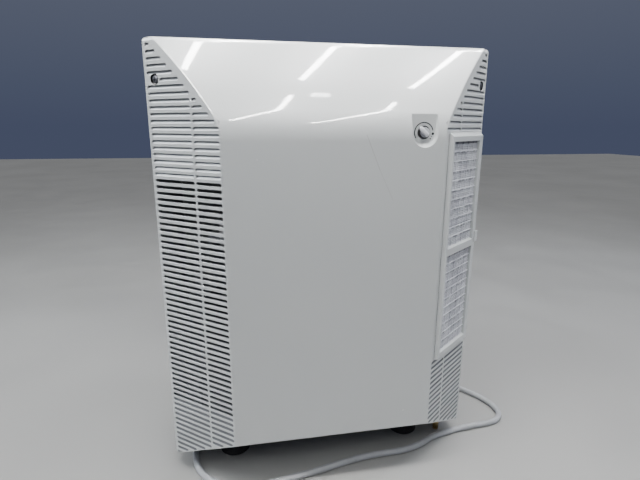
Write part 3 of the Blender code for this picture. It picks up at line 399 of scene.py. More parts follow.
def knob_plastic():
    """Satin white, with painted shade: a black skirt and band round it for the dark gap around the knob, and
    a greyer half beside the pointer for its shaded side.
    """
    look = Look(IOR=1.49)
    colour = look.mix(look.cloud(180.0, 4.0), (0.74, 0.75, 0.78), (0.82, 0.83, 0.86))
    across = Vector((math.sin(POINTER_TURN), 0, math.cos(POINTER_TURN)))
    away = look.vector("SUBTRACT", look.place, (KNOB_X, 0, KNOB_Z))
    beside = look.vector("DOT_PRODUCT", away, -across, output=1)
    # Painted shade: the half of the disc beside the pointer is greyer, for its shaded side.
    colour = look.mix(look.ramp(beside, POINTER_HALF, POINTER_HALF + 0.0004), colour, (0.27, 0.275, 0.3))
    # Painted shadow: the skirt and a band round the disc's edge are black, for the dark gap around the knob.
    skirt = look.math("GREATER_THAN", look.axis("Y"), FRONT_Y + KNOB_FRONT + 0.0009)
    on_disc = look.math("GREATER_THAN", look.axis("Y"), FRONT_Y + KNOB_FRONT - 0.0002)
    radius = look.vector("LENGTH", look.vector("MULTIPLY", away, (1, 0, 1)), output=1)
    band = look.product(look.ramp(radius, KNOB_BAND, KNOB_BAND + 0.0003), on_disc)
    look.paint(look.mix(look.math("MAXIMUM", skirt, band), colour, SHADOW_BLACK))
    look.rough(80.0, 0.3, 0.42)
    look.bump(look.noise(1400.0, 2.0), 0.00003, 0.5)
    return look.material


def matt_plastic(dark, light):
    look = Look(IOR=1.47)
    colour = look.mix(look.cloud(30.0, 4.0), dark, light)
    dust = look.ramp(look.noise(240.0, 4.0, 0.7), 0.6, 0.8, 0.0, 0.25)
    look.paint(look.mix(dust, colour, (0.45, 0.44, 0.42)))
    look.rough(80.0, 0.4, 0.6)
    look.bump(look.noise(1400.0, 2.0), 0.00004, 0.5)
    return look.material


def net_plastic():
    """Filter thread, greyed by dust in patches, darker in patches under the ribs, and with painted shadow
    along each window's top.
    """
    look = Look(IOR=1.46)
    dust = look.ramp(look.noise(46.0, 5.0, 0.65), 0.4, 0.72)
    colour = look.mix(dust, (0.92, 0.93, 0.97), (0.66, 0.66, 0.71))
    height = look.axis("Z")
    for low_z, high_z in WINDOW_ROWS:
        cell = (high_z - low_z) / round((high_z - low_z) / RIB_PITCH)
        # Darker in patches just under each rib.
        below_rib = look.math("FRACT", look.math("DIVIDE", look.math("SUBTRACT", high_z, height), cell))
        darker_under_rib = look.product(look.ramp(below_rib, 0.06, 0.45, 1.0, 0.0), look.ramp(below_rib, 0.0, 0.06))
        below_top = look.math("LESS_THAN", height, high_z)
        inside = look.product(below_top, look.math("GREATER_THAN", height, low_z))
        patch = look.ramp(look.noise(150.0, 2.0), 0.46, 0.56)
        colour = look.mix(look.product(darker_under_rib, inside, patch, 0.75), colour, (0.2, 0.2, 0.24))
        # Painted shadow of the frame's border along each window's top.
        top_shadow = look.math("GREATER_THAN", height, high_z - 0.003)
        colour = look.mix(look.product(inside, top_shadow, 0.85), colour, (0.13, 0.13, 0.17))
    look.paint(colour)
    look.feed("Roughness", look.ramp(dust, 0.0, 1.0, 0.45, 0.85))
    look.bump(look.noise(2600.0, 2.0), 0.00005, 0.6)
    return look.material


def painted_steel():
    """Powder-coated sheet with orange peel, rubs and small chips."""
    look = Look(IOR=1.48)
    colour = look.mix(look.cloud(7.0, 3.0), (0.62, 0.635, 0.625), (0.67, 0.68, 0.665))
    rub = look.ramp(look.noise(60.0, 6.0, 0.7, (1.0, 1.0, 0.12)), 0.6, 0.8, 0.0, 0.22)
    chip = look.ramp(look.noise(170.0, 3.0, 0.5), 0.755, 0.775)
    look.paint(add_wear(look, colour, ((rub, (0.45, 0.45, 0.44)), (chip, (0.3, 0.29, 0.27)))))
    look.rough(40.0, 0.34, 0.52)
    look.bump(look.noise(520.0, 2.0), 0.00008, 0.35)
    return look.material


def metal(dark, light, rough=(0.25, 0.45), spangle=0.0, brushed=None):
    look = Look(Metallic=1.0)
    if spangle:
        cells = look.node("ShaderNodeTexVoronoi", {"Vector": look.place, "Scale": spangle}).outputs["Color"]
        tone = look.node("ShaderNodeSeparateColor", {0: cells}).outputs[0]
    else:
        tone = look.cloud(70.0, 5.0, 0.6, brushed)
    look.paint(look.mix(tone, dark, light))
    look.rough(130.0, *rough)
    look.bump(look.noise(900.0, 3.0, 0.5, brushed), 0.00003, 0.4)
    return look.material


def patchy(clean, soiled, noise, span, rough, grain, IOR, name="look"):
    """One colour with patches of another, where a noise passes through a span."""
    look = Look(name, IOR=IOR)
    look.paint(look.mix(look.ramp(look.noise(*noise), *span), clean, soiled))
    look.rough(*rough)
    scale, detail, distance, strength = grain
    look.bump(look.noise(scale, detail), distance, strength)
    return look.material


RUSTY_BLACK = patchy(
    (0.012, 0.012, 0.013), (0.1, 0.045, 0.022), noise=(90.0, 6.0, 0.7), span=(0.66, 0.78, 0.0, 0.6),
    rough=(35.0, 0.28, 0.5), grain=(420.0, 2.0, 0.0001, 0.3), IOR=1.5,
)
DUSTY_RUBBER = patchy(
    (0.014, 0.014, 0.015), (0.1, 0.1, 0.098), noise=(120.0, 6.0, 0.7), span=(0.5, 0.8, 0.0, 0.35),
    rough=(60.0, 0.62, 0.85), grain=(1100.0, 3.0, 0.00006, 0.6), IOR=1.45,
)
GRIMY_JACKET = patchy(
    (0.5, 0.51, 0.53), (0.4, 0.405, 0.41), noise=(38.0, 5.0, 0.65), span=(0.42, 0.75),
    rough=(90.0, 0.38, 0.55), grain=(1300.0, 2.0, 0.00003, 0.4), IOR=1.47,
)
FLOOR_PAINT = patchy(
    (0.39, 0.385, 0.37), (0.43, 0.425, 0.41), noise=(2.0,), span=(0.3, 0.7),
    rough=(8.0, 0.55, 0.75), grain=(300.0, 2.0, 0.0001, 0.2), IOR=1.4, name="floor_look",
)


def printed_ink():
    look = Look("printed_ink_look", IOR=1.45)
    wear = look.ramp(look.noise(900.0, 3.0), 0.55, 0.8, 0.0, 0.5)
    look.paint(look.mix(wear, (0.025, 0.03, 0.034), (0.2, 0.21, 0.21)))
    look.feed("Roughness", look.ramp(wear, 0.0, 1.0, 0.35, 0.6))
    return look.material


LOOKS = {
    "cover_plastic": ivory_plastic(COVER_MARKS),
    "net_plastic": net_plastic(),
    "knob_plastic": knob_plastic(),
    "white_plastic": matt_plastic((0.68, 0.69, 0.69), (0.74, 0.75, 0.75)),
    "painted_steel": painted_steel(),
    "zinc_steel": metal((0.48, 0.49, 0.51), (0.64, 0.65, 0.67), spangle=90.0),
    "screw_steel": metal((0.045, 0.047, 0.055), (0.11, 0.113, 0.125), (0.4, 0.6)),
    "black_steel": RUSTY_BLACK,
    "rubber": DUSTY_RUBBER,
    "copper": metal((0.42, 0.2, 0.12), (0.72, 0.38, 0.25), (0.28, 0.5)),
    "brass": metal((0.42, 0.3, 0.13), (0.68, 0.52, 0.26), (0.25, 0.45)),
    "aluminium": metal((0.58, 0.59, 0.61), (0.76, 0.77, 0.79), (0.3, 0.5), brushed=(1, 12, 1)),
    "grey_plastic": matt_plastic((0.2, 0.21, 0.23), (0.27, 0.28, 0.3)),
    "cord_jacket": GRIMY_JACKET,
}
for slot_name, material in LOOKS.items():
    material.name = f"{slot_name}_look"
INK = printed_ink()


# Mesh helpers


def add_object(name, data):
    obj = bpy.data.objects.new(name, data)
    bpy.context.scene.collection.objects.link(obj)
    return obj


def finished(name, bm, look, body="root", angle=SHARP):
    """Makes an object of a bmesh, smooth but for its sharp edges."""
    bmesh.ops.recalc_face_normals(bm, faces=bm.faces)
    mesh = bpy.data.meshes.new(name)
    bm.to_mesh(mesh)
    bm.free()
    mesh.shade_smooth()
    mesh.set_sharp_from_angle(angle=math.radians(angle))
    mesh.materials.append(look)
    obj = add_object(name, mesh)
    if body:
        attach(obj, body)
    return obj


def raw(name, bm):
    """A cutter, or a piece of the cover that is still to be cut."""
    return finished(name, bm, LOOKS["cover_plastic"], body=None)


def add_loft(bm, rings):
    """Joins rings of points, each with as many points, into a tube with capped ends."""
    made = [[bm.verts.new(point) for point in ring] for ring in rings]
    count = len(made[0])
    for lower, upper in zip(made, made[1:]):
        for i in range(count):
            j = (i + 1) % count
            bm.faces.new((lower[i], lower[j], upper[j], upper[i]))
    bm.faces.new(made[0])
    bm.faces.new(made[-1])


def add_turned(bm, profile, place, segments):
    """Spins a profile of (radius, height) about a placement's Z, closed at both ends."""
    rings = []
    for radius, height in profile:
        ring = []
        for i in range(segments):
            angle = 2 * math.pi * i / segments
            ring.append(place @ Vector((radius * math.cos(angle), radius * math.sin(angle), height)))
        rings.append(ring)
    add_loft(bm, rings)


def arc(centre, radius, start, end, steps):
    """Points of an arc, from one angle in degrees to another."""
    points = []
    for i in range(steps + 1):
        angle = math.radians(start + (end - start) * i / steps)
        points.append((centre[0] + radius * math.cos(angle), centre[1] + radius * math.sin(angle)))
    return points


def stadium(low, high, bottom, top, grow=0.0, steps=4):
    """A slot's outline with round ends, as points of (along, up)."""
    radius = (top - bottom) / 2 + grow
    middle = (top + bottom) / 2
    reach = radius - grow
    right = arc((high - reach, middle), radius, -90, 90, steps * 2)
    return right + arc((low + reach, middle), radius, 90, 270, steps * 2)


def carved(obj, tools):
    """Cuts the tools from obj and bakes the result into its mesh."""
    for tool in tools:
        modifier = obj.modifiers.new(tool.name, "BOOLEAN")
        modifier.solver = "EXACT"
        modifier.object = tool
    graph = bpy.context.evaluated_depsgraph_get()
    mesh = bpy.data.meshes.new_from_object(obj.evaluated_get(graph), depsgraph=graph)
    old = obj.data
    obj.modifiers.clear()
    obj.data = mesh
    bpy.data.meshes.remove(old)
    for tool in tools:
        bpy.data.objects.remove(tool)
    return obj


def smooth_mesh(obj):
    """Smooth shading that keeps flat faces flat."""
    obj.data.shade_smooth()
    obj.data.set_sharp_from_angle(angle=math.radians(SHARP))
    weighted = obj.modifiers.new("weighted_normals", "WEIGHTED_NORMAL")
    weighted.keep_sharp = True


def along(axis, origin):
    """A placement whose local Z points along axis."""
    turn = Vector(axis).to_track_quat("Z", "Y").to_matrix().to_4x4()
    return Matrix.Translation(origin) @ turn


def wing_matrix(side):
    """A placement whose X runs along the wing, Y into it and Z up."""
    run = (side * math.cos(WING_ANGLE), math.sin(WING_ANGLE), 0)
    inward = (-side * math.sin(WING_ANGLE), math.cos(WING_ANGLE), 0)
    turn = Matrix((run, inward, (0, 0, 1))).transposed().to_4x4()
    return Matrix.Translation((side * FACE_HALF, FRONT_Y, 0)) @ turn


def wing_frame(side, distance, z):
    """A placement on the wing whose local Z points straight into it."""
    place = wing_matrix(side)
    inward = place.to_3x3() @ Vector((0, 1, 0))
    return along(inward, place @ Vector((distance, 0, z)))


# Camera, light and floor


def make_camera():
    data = bpy.data.cameras.new("camera")
    data.sensor_width = SENSOR
    data.lens = CAMERA_LENS
    data.clip_start = 0.01
    level = math.cos(CAMERA_PITCH)
    forward = Vector((math.sin(CAMERA_YAW) * level, math.cos(CAMERA_YAW) * level, -math.sin(CAMERA_PITCH)))
    right = Vector((math.cos(CAMERA_YAW), -math.sin(CAMERA_YAW), 0))
    down = forward.cross(right)
    turned_right = right * math.cos(CAMERA_ROLL) + down * math.sin(CAMERA_ROLL)
    turned_down = down * math.cos(CAMERA_ROLL) - right * math.sin(CAMERA_ROLL)
    turn = Matrix((turned_right, -turned_down, -forward)).transposed().to_4x4()
    camera = add_object("camera", data)
    camera.matrix_world = Matrix.Translation(CAMERA_PLACE) @ turn
    bpy.context.scene.camera = camera


def make_world():
    """A bright ceiling that fades to a dimmer, slightly blue horizon."""
    world = bpy.data.worlds.new("studio")
    bpy.context.scene.world = world
    world.use_nodes = True
    tree = world.node_tree
    background = tree.nodes["Background"]
    kinds = ("TexCoord", "SeparateXYZ", "ValToRGB")
    place, split, ramp = (tree.nodes.new(f"ShaderNode{kind}") for kind in kinds)
    tree.links.new(place.outputs["Generated"], split.inputs[0])
    tree.links.new(split.outputs["Z"], ramp.inputs[0])
    tree.links.new(ramp.outputs[0], background.inputs[0])
    elements = ramp.color_ramp.elements
    elements.new(WORLD_STOPS[1][0])
    for element, (position, colour) in zip(elements, WORLD_STOPS):
        element.position = position
        element.color = (*colour, 1)
    background.inputs["Strength"].default_value = WORLD_STRENGTH


def rectangle_light(name, placement, size, power, colour=(1, 1, 1)):
    data = bpy.data.lights.new(name, "AREA")
    data.shape = "RECTANGLE"
    data.size, data.size_y = size
    data.energy = power
    data.color = colour
    obj = add_object(name, data)
    obj.matrix_world = placement
    return obj


def soft_light(name, place, target, size, power, colour):
    heading = Vector(target) - Vector(place)
    placement = Matrix.Translation(place) @ heading.to_track_quat("-Z", "Y").to_matrix().to_4x4()
    return rectangle_light(name, placement, size, power, colour)


def tube_light(name, start, end, width, brightness):
    """A ceiling tube that shines straight down, for reflections only. Its power follows from its area."""
    start, end = Vector((*start, CEILING)), Vector((*end, CEILING))
    run = end - start
    turn = Matrix((run.normalized(), Vector((0, 0, 1)).cross(run.normalized()), (0, 0, 1))).transposed()
    placement = Matrix.Translation((start + end) / 2) @ turn.to_4x4()
    power = brightness * run.length * width * math.pi
    tube = rectangle_light(name, placement, (run.length, width), power)
    tube.visible_diffuse = False


def make_stage():
    """World, lights and floor. The boom leaves no reflection, and the kicker is for reflections only."""
    make_world()
    for name, settings in TUBES.items():
        tube_light(name, *settings)
    lights = {name: soft_light(name, *settings) for name, settings in SOFT_LIGHTS.items()}
    lights["boom"].visible_glossy = False
    lights["kicker"].visible_diffuse = False
    bm = bmesh.new()
    bmesh.ops.create_grid(bm, x_segments=FLOOR_CELLS, y_segments=FLOOR_CELLS, size=FLOOR_HALF)
    floor = finished("floor", bm, FLOOR_PAINT, body=None)


# Mains lead


def smooth_curve(route, spacing):
    """Points at an even spacing on the natural cubic spline through a route."""
    points = np.array(route, float)
    knots = np.concatenate([[0], np.cumsum(np.linalg.norm(np.diff(points, axis=0), axis=1))])
    steps = np.diff(knots)
    count = len(points)
    system = np.eye(count)
    bend = np.zeros_like(points)
    for i in range(1, count - 1):
        system[i, i - 1 : i + 2] = steps[i - 1], 2 * (steps[i - 1] + steps[i]), steps[i]
        bend[i] = (points[i + 1] - points[i]) / steps[i] - (points[i] - points[i - 1]) / steps[i - 1]
    bend = np.linalg.solve(system, 6 * bend)
    fine = np.linspace(0, knots[-1], 40 * count)
    piece = np.clip(np.searchsorted(knots, fine, side="right") - 1, 0, count - 2)
    width = steps[piece][:, None]
    before = (knots[piece + 1] - fine)[:, None]
    after = (fine - knots[piece])[:, None]
    curve = (bend[piece] * before**3 + bend[piece + 1] * after**3) / (6 * width)
    curve += (points[piece] / width - bend[piece] * width / 6) * before
    curve += (points[piece + 1] / width - bend[piece + 1] * width / 6) * after
    lengths = np.concatenate([[0], np.cumsum(np.linalg.norm(np.diff(curve, axis=0), axis=1))])
    stations = np.linspace(0, lengths[-1], max(2, round(lengths[-1] / spacing) + 1))
    return np.column_stack([np.interp(stations, lengths, curve[:, i]) for i in range(3)])


def eased(value, start, end):
    share = min(max((value - start) / (end - start), 0.0), 1.0)
    return share * share * (3 - 2 * share)


def coil_turns():
    """Two layers, two turns wide, wound clockwise from the coil's left edge to its far side."""
    step, last = 6, 1170
    to_inner, to_outer, to_upper = (298, 352), (955, 1015), (655, 705)
    points = []
    for turned_by in range(0, last + 1, step):
        inward = eased(turned_by, *to_inner) - eased(turned_by, *to_outer)
        radius = OUTER_TURN + (INNER_TURN - OUTER_TURN) * inward
        lift = CORD_DIAMETER * eased(turned_by, *to_upper)
        angle = math.radians(180 - turned_by)
        x = COIL_CENTRE[0] + radius * math.cos(angle)
        y = COIL_CENTRE[1] + radius * math.sin(angle)
        points.append((x, y, CORD_RADIUS + COIL_FLOOR + lift))
    return points


def mains_lead():
    """The lead along its route, round its coil and straight on to the plug, in one curve."""
    spacing = 0.006
    laid = smooth_curve(CORD_ROUTE, spacing)
    laid[:, 2] = np.maximum(laid[:, 2], CORD_RADIUS)
    turns = coil_turns()
    last = turns[-1]
    end_x = PLUG_START - 0.0003
    tail = [(end_x + (last[0] - end_x) * share, *last[1:]) for share in (0.75, 0.5, 0.25, 0.0)]
    points = [*laid.tolist(), *turns, *tail]
    data = bpy.data.curves.new("mains_lead", "CURVE")
    data.dimensions = "3D"
    data.bevel_depth = CORD_RADIUS
    data.bevel_resolution = 4
    data.use_fill_caps = True
    spline = data.splines.new("POLY")
    spline.points.add(len(points) - 1)
    for target, point in zip(spline.points, points):
        target.co = (*point, 1)
    spline.use_smooth = True
    data.materials.append(LOOKS["cord_jacket"])
    lead = add_object("mains_lead", data)
    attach(lead, "root")
    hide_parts("power_cord", "cord_coil")
    return lead


def ribbed(ribs, grooved, depth, radii, heights, until=1.0):
    """A sleeve's profile of (radius, height). Some of each rib's four steps are cut back into a groove."""
    profile = []
    for i in range(ribs * 4 + 1):
        share = i / (ribs * 4)
        groove = depth if i % 4 in grooved and share < until else 0.0
        radius = radii[0] + (radii[1] - radii[0]) * share
        profile.append((radius - groove, heights[0] + (heights[1] - heights[0]) * share))
    return profile


def plug_ring(x, centre, across, up):
    """A cross-section of the plug's body, between a circle and a square."""
    squareness = 0.45
    corners = 32
    ring = []
    for k in range(corners):
        angle = 2 * math.pi * k / corners
        c, s = math.cos(angle), math.sin(angle)
        y = centre[0] + across * math.copysign(abs(c) ** squareness, c)
        z = centre[1] + up * math.copysign(abs(s) ** squareness, s)
        ring.append((x, y, z))
    return ring


def plug():
    """A moulded plug: ribbed neck, a body with rounded ends and grip ridges, and two flat blades."""
    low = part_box("mains_plug")[0]
    centre = (COIL_CENTRE[1] + OUTER_TURN, COIL_FLOOR + 3 * CORD_RADIUS)
    neck_length, body_gap, body_length = 0.026, 0.025, 0.033
    body_start = low.x + body_gap
    body_end = body_start + body_length
    bm = bmesh.new()
    neck = ribbed(6, (1, 2), 0.0006, (0.0046, 0.0076), (0.0, neck_length), until=0.9)
    add_turned(bm, neck, along((1, 0, 0), (low.x, *centre)), 24)
    half = (centre[1] - 0.0004) * 0.98
    steps = 22
    rings = []
    for i in range(steps + 1):
        share = i / steps
        start_round = 0.75 + 0.25 * math.sqrt(max(0.0, 1 - max(0.0, 1 - share * 7) ** 2))
        end_round = 0.9 + 0.1 * math.sqrt(max(0.0, 1 - max(0.0, (share - 0.93) / 0.07) ** 2))
        up = half * start_round * end_round
        ridge = 0.94 if 0.18 < share < 0.72 and i % 2 else 1.0
        rings.append(plug_ring(body_start + (body_end - body_start) * share, centre, up * ridge, up))
    add_loft(bm, rings)
    moulded = finished("plug_body", bm, LOOKS["grey_plastic"], angle=50)
    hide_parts("mains_plug")
    bm = bmesh.new()
    root, shoulder, tip = -0.0005, 0.015, 0.0168
    wide, narrow, thick, apart = 0.0031, 0.002, 0.00075, 0.00635
    half_outline = [(root, wide), (shoulder, wide), (tip, narrow)]
    outline = half_outline + [(x, -z) for x, z in reversed(half_outline)]
    for side in (-apart, apart):
        faces = (centre[0] + side - thick, centre[0] + side + thick)
        add_loft(bm, [[(body_end + x, y, centre[1] + z) for x, z in outline] for y in faces])
    blades = finished("plug_blades", bm, LOOKS["brass"])
    bevel = blades.modifiers.new("rounding", "BEVEL")
    bevel.width = 0.0002
    bevel.segments = 2
    return [moulded, blades]


def strain_relief():
    """The ribbed, tapered sleeve that the lead leaves the cabinet through."""
    low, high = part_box("strain_relief")
    place = along((0, 1, 0), (GLAND_X, low.y, GLAND_Z))
    length = high.y - low.y
    barrel, flange = 0.0072, 0.012
    steps = ((0.0112, 0.0003), (0.0115, 0.0008), (0.0115, 0.0024), (0.0111, 0.003), (0.008, 0.0031))
    profile = [(NEAR_AXIS, 0.0), (barrel, 0.0), (barrel, flange)]
    profile += [(radius, flange + height) for radius, height in steps]
    profile += ribbed(7, (2, 3), 0.0009, (0.0078, 0.0052), (flange + 0.0033, length))
    profile.append((NEAR_AXIS, length))
    bm = bmesh.new()
    add_turned(bm, profile, place, 28)
    sleeve = finished("lead_sleeve", bm, LOOKS["grey_plastic"], angle=50)
    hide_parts("strain_relief")
    return sleeve


# Front cover


def shoulder_curve(inset, steps):
    """The curve from the flat face over to the top, as points of (y, z)."""
    leans = list(zip(SHOULDER_RADII, SHOULDER_LEANS, SHOULDER_LEANS[1:]))
    rise = sum(radius * (math.sin(end) - math.sin(start)) for radius, start, end in leans)
    points = [(FRONT_Y + inset, TOP_Z - rise)]
    for (radius, start, end), count in zip(leans, steps):
        y, z = points[-1]
        reach = radius - inset
        centre = (y + reach * math.cos(start), z - reach * math.sin(start))
        points += arc(centre, reach, 180 - math.degrees(start), 180 - math.degrees(end), count)[1:]
    return points


def front_profile(inset, steps, face_steps):
    """The middle of the cover from the side, from its lowest edge to its top, as points of (y, z)."""
    slope = Vector((RIM_Y - FRONT_Y, RIM_BOTTOM - FACE_BOTTOM))
    inward = Vector((-slope.y, slope.x)).normalized()
    face_z = FACE_BOTTOM + inset * (1 - inward.x) / inward.y
    rim_z = face_z + (RIM_Y - FRONT_Y - inset) * slope.y / slope.x
    corner = Vector((FRONT_Y + inset, face_z))
    turn = math.atan2(slope.x, -slope.y)
    tangent = FACE_FILLET * math.tan(turn / 2)
    low = Vector((RIM_Y, rim_z))
    meet = corner + slope.normalized() * tangent
    slope_steps = 6
    points = [tuple(low.lerp(meet, i / slope_steps)) for i in range(slope_steps)]
    centre = (corner.x + FACE_FILLET, corner.y + tangent)
    points += arc(centre, FACE_FILLET, 180 + math.degrees(turn), 180, 5)
    shoulder = shoulder_curve(inset, steps)
    start_z = points[-1][1]
    for i in range(1, face_steps):
        points.append((FRONT_Y + inset, start_z + (shoulder[0][1] - start_z) * i / face_steps))
    return points + shoulder


def section(front, inset, radius, back_y, z, across):
    """One level of the cover as a closed ring: front, rounded edges, wings, sides and back."""
    away = inset + radius
    centre_y = front + radius
    side_x = HALF_WIDTH - away
    wing_y = FRONT_Y + (side_x - FACE_HALF) * math.tan(WING_ANGLE) + away / math.cos(WING_ANGLE)
    face_x = FACE_HALF + (centre_y - FRONT_Y - away / math.cos(WING_ANGLE)) / math.tan(WING_ANGLE)
    if face_x < side_x:
        first, second = (face_x, centre_y), (side_x, wing_y)
    else:
        first = second = (side_x, centre_y)
    turn = -90 + math.degrees(WING_ANGLE)
    rounding = arc(first, radius, -90, turn, 5) + arc(second, radius, turn, 0, 6)
    right = [(rounding[0][0] * i / across, front) for i in range(across)] + rounding
    right.append((side_x + radius, back_y))
    left = [(-x, y) for x, y in reversed(right[1:])]
    return [(x, y, z) for x, y in right + left]


def edge_radius(z):
    """The rounding of the upright edges, which grows a little just above the face's foot."""
    share = min(max((z - FACE_BOTTOM) / ROUNDING_REACH, 0.0), 1.0)
    return LOWER_ROUNDING + (EDGE_ROUNDING - LOWER_ROUNDING) * share


def shell_rings(inset, back_y, steps, face_steps, across):
    """All levels of the cover moved in by inset. The outer one has its top edges rounded."""
    profile = front_profile(inset, steps, face_steps)
    top = TOP_Z - inset
    heights = [z for _, z in profile]
    fronts = [y for y, _ in profile]
    top_steps = 8
    rounded = [top - TOP_ROUNDING * k / top_steps for k in range(top_steps + 1)]
    levels = sorted(set(round(z, 6) for z in heights + rounded))
    rings = []
    for z in levels:
        over = max(0.0, z - (top - TOP_ROUNDING))
        drop = TOP_ROUNDING - math.sqrt(max(0.0, TOP_ROUNDING**2 - over**2))
        front = float(np.interp(z, heights, fronts))
        radius = max(edge_radius(z) - inset, SHARPEST_EDGE)
        rings.append(section(front, inset + drop, radius, back_y, z, across))
    return rings


def shell(name, rings):
    bm = bmesh.new()
    add_loft(bm, rings)
    return raw(name, bm)


def groove_start(row, z):
    """Where a row begins along the wing: beside the slanted shoulder, the upright edge or the underside."""
    if z < FACE_BOTTOM:
        return (FACE_BOTTOM - z) / (FACE_BOTTOM - RIM_BOTTOM) * WING_WIDTH + UNDERSIDE_START
    if row <= SHOULDER_ROW:
        return SHOULDER_START + (SHOULDER_ROW - row) * ROW_STEP
    return EDGE_START


def row_spans(name, row):
    """One row's grooves as spans along the wing, with their height and whether they go right through."""
    z = TOP_ROW_Z - ROW_PITCH * (row - 1)
    is_open = OPEN_ROWS[name][0] <= row <= OPEN_ROWS[name][1]
    start = groove_start(row, z)
    end = COLUMN_END
    if name == "right" and is_open:
        start, end = FILTER_SLOTS
    if abs(z - SCREW_Z) < SLOT_HALF:
        end = SCREW_ALONG - COUNTERBORE - SCREW_MARGIN
    spans = [(start, COLUMN_SPLIT[0]), (max(start, COLUMN_SPLIT[1]), end)]
    return [span for span in spans if span[1] - span[0] > SHORTEST_GROOVE], z, is_open


def add_groove(bm, place, span, z, is_open):
    """A groove with a chamfered mouth. A blind one has a floor that rises from its top to its foot."""
    chamfer = 0.0003
    above = 0.0007
    deep_top, deep_foot = 0.0027, 0.0006
    through = COVER_WALL + 0.001
    rings = []
    tiers = ((chamfer + above, -above), (0.0, chamfer), (0.0, None))
    for grow, depth in tiers:
        ring = []
        for distance, height in stadium(*span, z - SLOT_HALF, z + SLOT_HALF, grow):
            down = depth
            if down is None:
                share = (height - z + SLOT_HALF) / (2 * SLOT_HALF)
                down = through if is_open else deep_foot + (deep_top - deep_foot) * share
            ring.append(place @ Vector((distance, down, height)))
        rings.append(ring)
    add_loft(bm, rings)


def cover_tools():
    """What is cut from the outside: first the grooves, slots and recess, then the holes through them."""
    bm = bmesh.new()
    for name, side in SIDES.items():
        place = wing_matrix(side)
        for row in range(1, LAST_ROW + 1):
            spans, z, is_open = row_spans(name, row)
            for span in spans:
                add_groove(bm, place, span, z, is_open)
    add_recess(bm)
    grooves = raw("tool_grooves", bm)
    bm = bmesh.new()
    chamfer, clear = 0.0004, 0.001
    seat, shank, end = 0.0035, 0.0024, 0.008
    mouth = COUNTERBORE + chamfer
    bore = [(mouth + clear, -clear), (mouth, 0), (COUNTERBORE, chamfer), (COUNTERBORE, seat)]
    bore += [(shank, seat), (shank, end)]
    for side in SIDES.values():
        add_turned(bm, bore, wing_frame(side, SCREW_ALONG, SCREW_Z), 32)
    face = along((0, 1, 0), (KNOB_X, FRONT_Y, KNOB_Z))
    add_turned(bm, ((KNOB_HOLE, RECESS_FLOOR - 0.003), (KNOB_HOLE, 0.02)), face, 40)
    return [grooves, raw("tool_holes", bm)]


def add_recess(bm):
    """The D-shaped hollow around the knob, flared at its top, with a hollow-curved foot."""
    flare = ((0.8, -0.003), (1.0, 0.0))
    tiers = ((-0.01, 0.0, 0.0), (0.0, 0.0, 0.0), (0.0012, 0.0001, 0.0006), (0.0026, 0.0002, 0.0013))
    tiers += ((0.004, 0.0003, 0.0021), (0.0051, 0.0004, 0.003), (0.0057, 0.0006, 0.0037))
    tiers += ((RECESS_FLOOR, 0.0008, 0.0047),)
    rings = []
    for depth, sides_in, foot_in in tiers:
        half = RECESS_HALF - sides_in
        drop = RECESS_HALF - foot_in
        ring = [(KNOB_X + half * x, RECESS_ARC_Z + drop * z) for x, z in arc((0, 0), 1, 180, 360, 28)]
        side = [(half + RECESS_FLARE * share, RECESS_TOP + up) for share, up in flare]
        ring += [(KNOB_X + x, z) for x, z in side] + [(KNOB_X - x, z) for x, z in reversed(side)]
        rings.append([(x, FRONT_Y + depth, z) for x, z in ring])
    add_loft(bm, rings)


def inner_tools():
    """Where the moulding is thicker inside: behind the knob's recess and around the screws."""
    bm = bmesh.new()
    thick = RECESS_FLOOR + COVER_WALL
    half = RECESS_HALF + COVER_WALL
    outline = arc((KNOB_X, RECESS_ARC_Z), half, 180, 360, 16)
    outline += [(KNOB_X + half, RECESS_TOP + COVER_WALL), (KNOB_X - half, RECESS_TOP + COVER_WALL)]
    add_loft(bm, [[(x, FRONT_Y + depth, z) for x, z in outline] for depth in (-0.004, thick)])
    for side in SIDES.values():
        add_turned(bm, ((0.008, -0.004), (0.008, 0.006)), wing_frame(side, SCREW_ALONG, SCREW_Z), 24)
    return [raw("tool_bosses", bm)]


def front_cover():
    """The cover: a solid shell, less its hollow, and then less its grooves, recess and holes."""
    cover = shell("cover_shell", shell_rings(0.0, LIP_BACK, (12, 12, 14), face_steps=12, across=14))
    rings = shell_rings(COVER_WALL, LIP_BACK + 0.02, (6, 4, 6), face_steps=4, across=4)
    below = [(x, y, RIM_BOTTOM - 0.01) for x, y, _ in rings[0]]
    hollow = carved(shell("tool_hollow", [below, *rings]), inner_tools())
    carved(cover, [hollow])
    carved(cover, cover_tools())
    smooth_mesh(cover)
    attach(cover, "root")
    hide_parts("front_cover")
    return cover


# Filter


def add_box(bm, low, high):
    around = ((low[0], low[1]), (high[0], low[1]), (high[0], high[1]), (low[0], high[1]))
    add_loft(bm, [[(x, y, z) for x, y in around] for z in (low[2], high[2])])


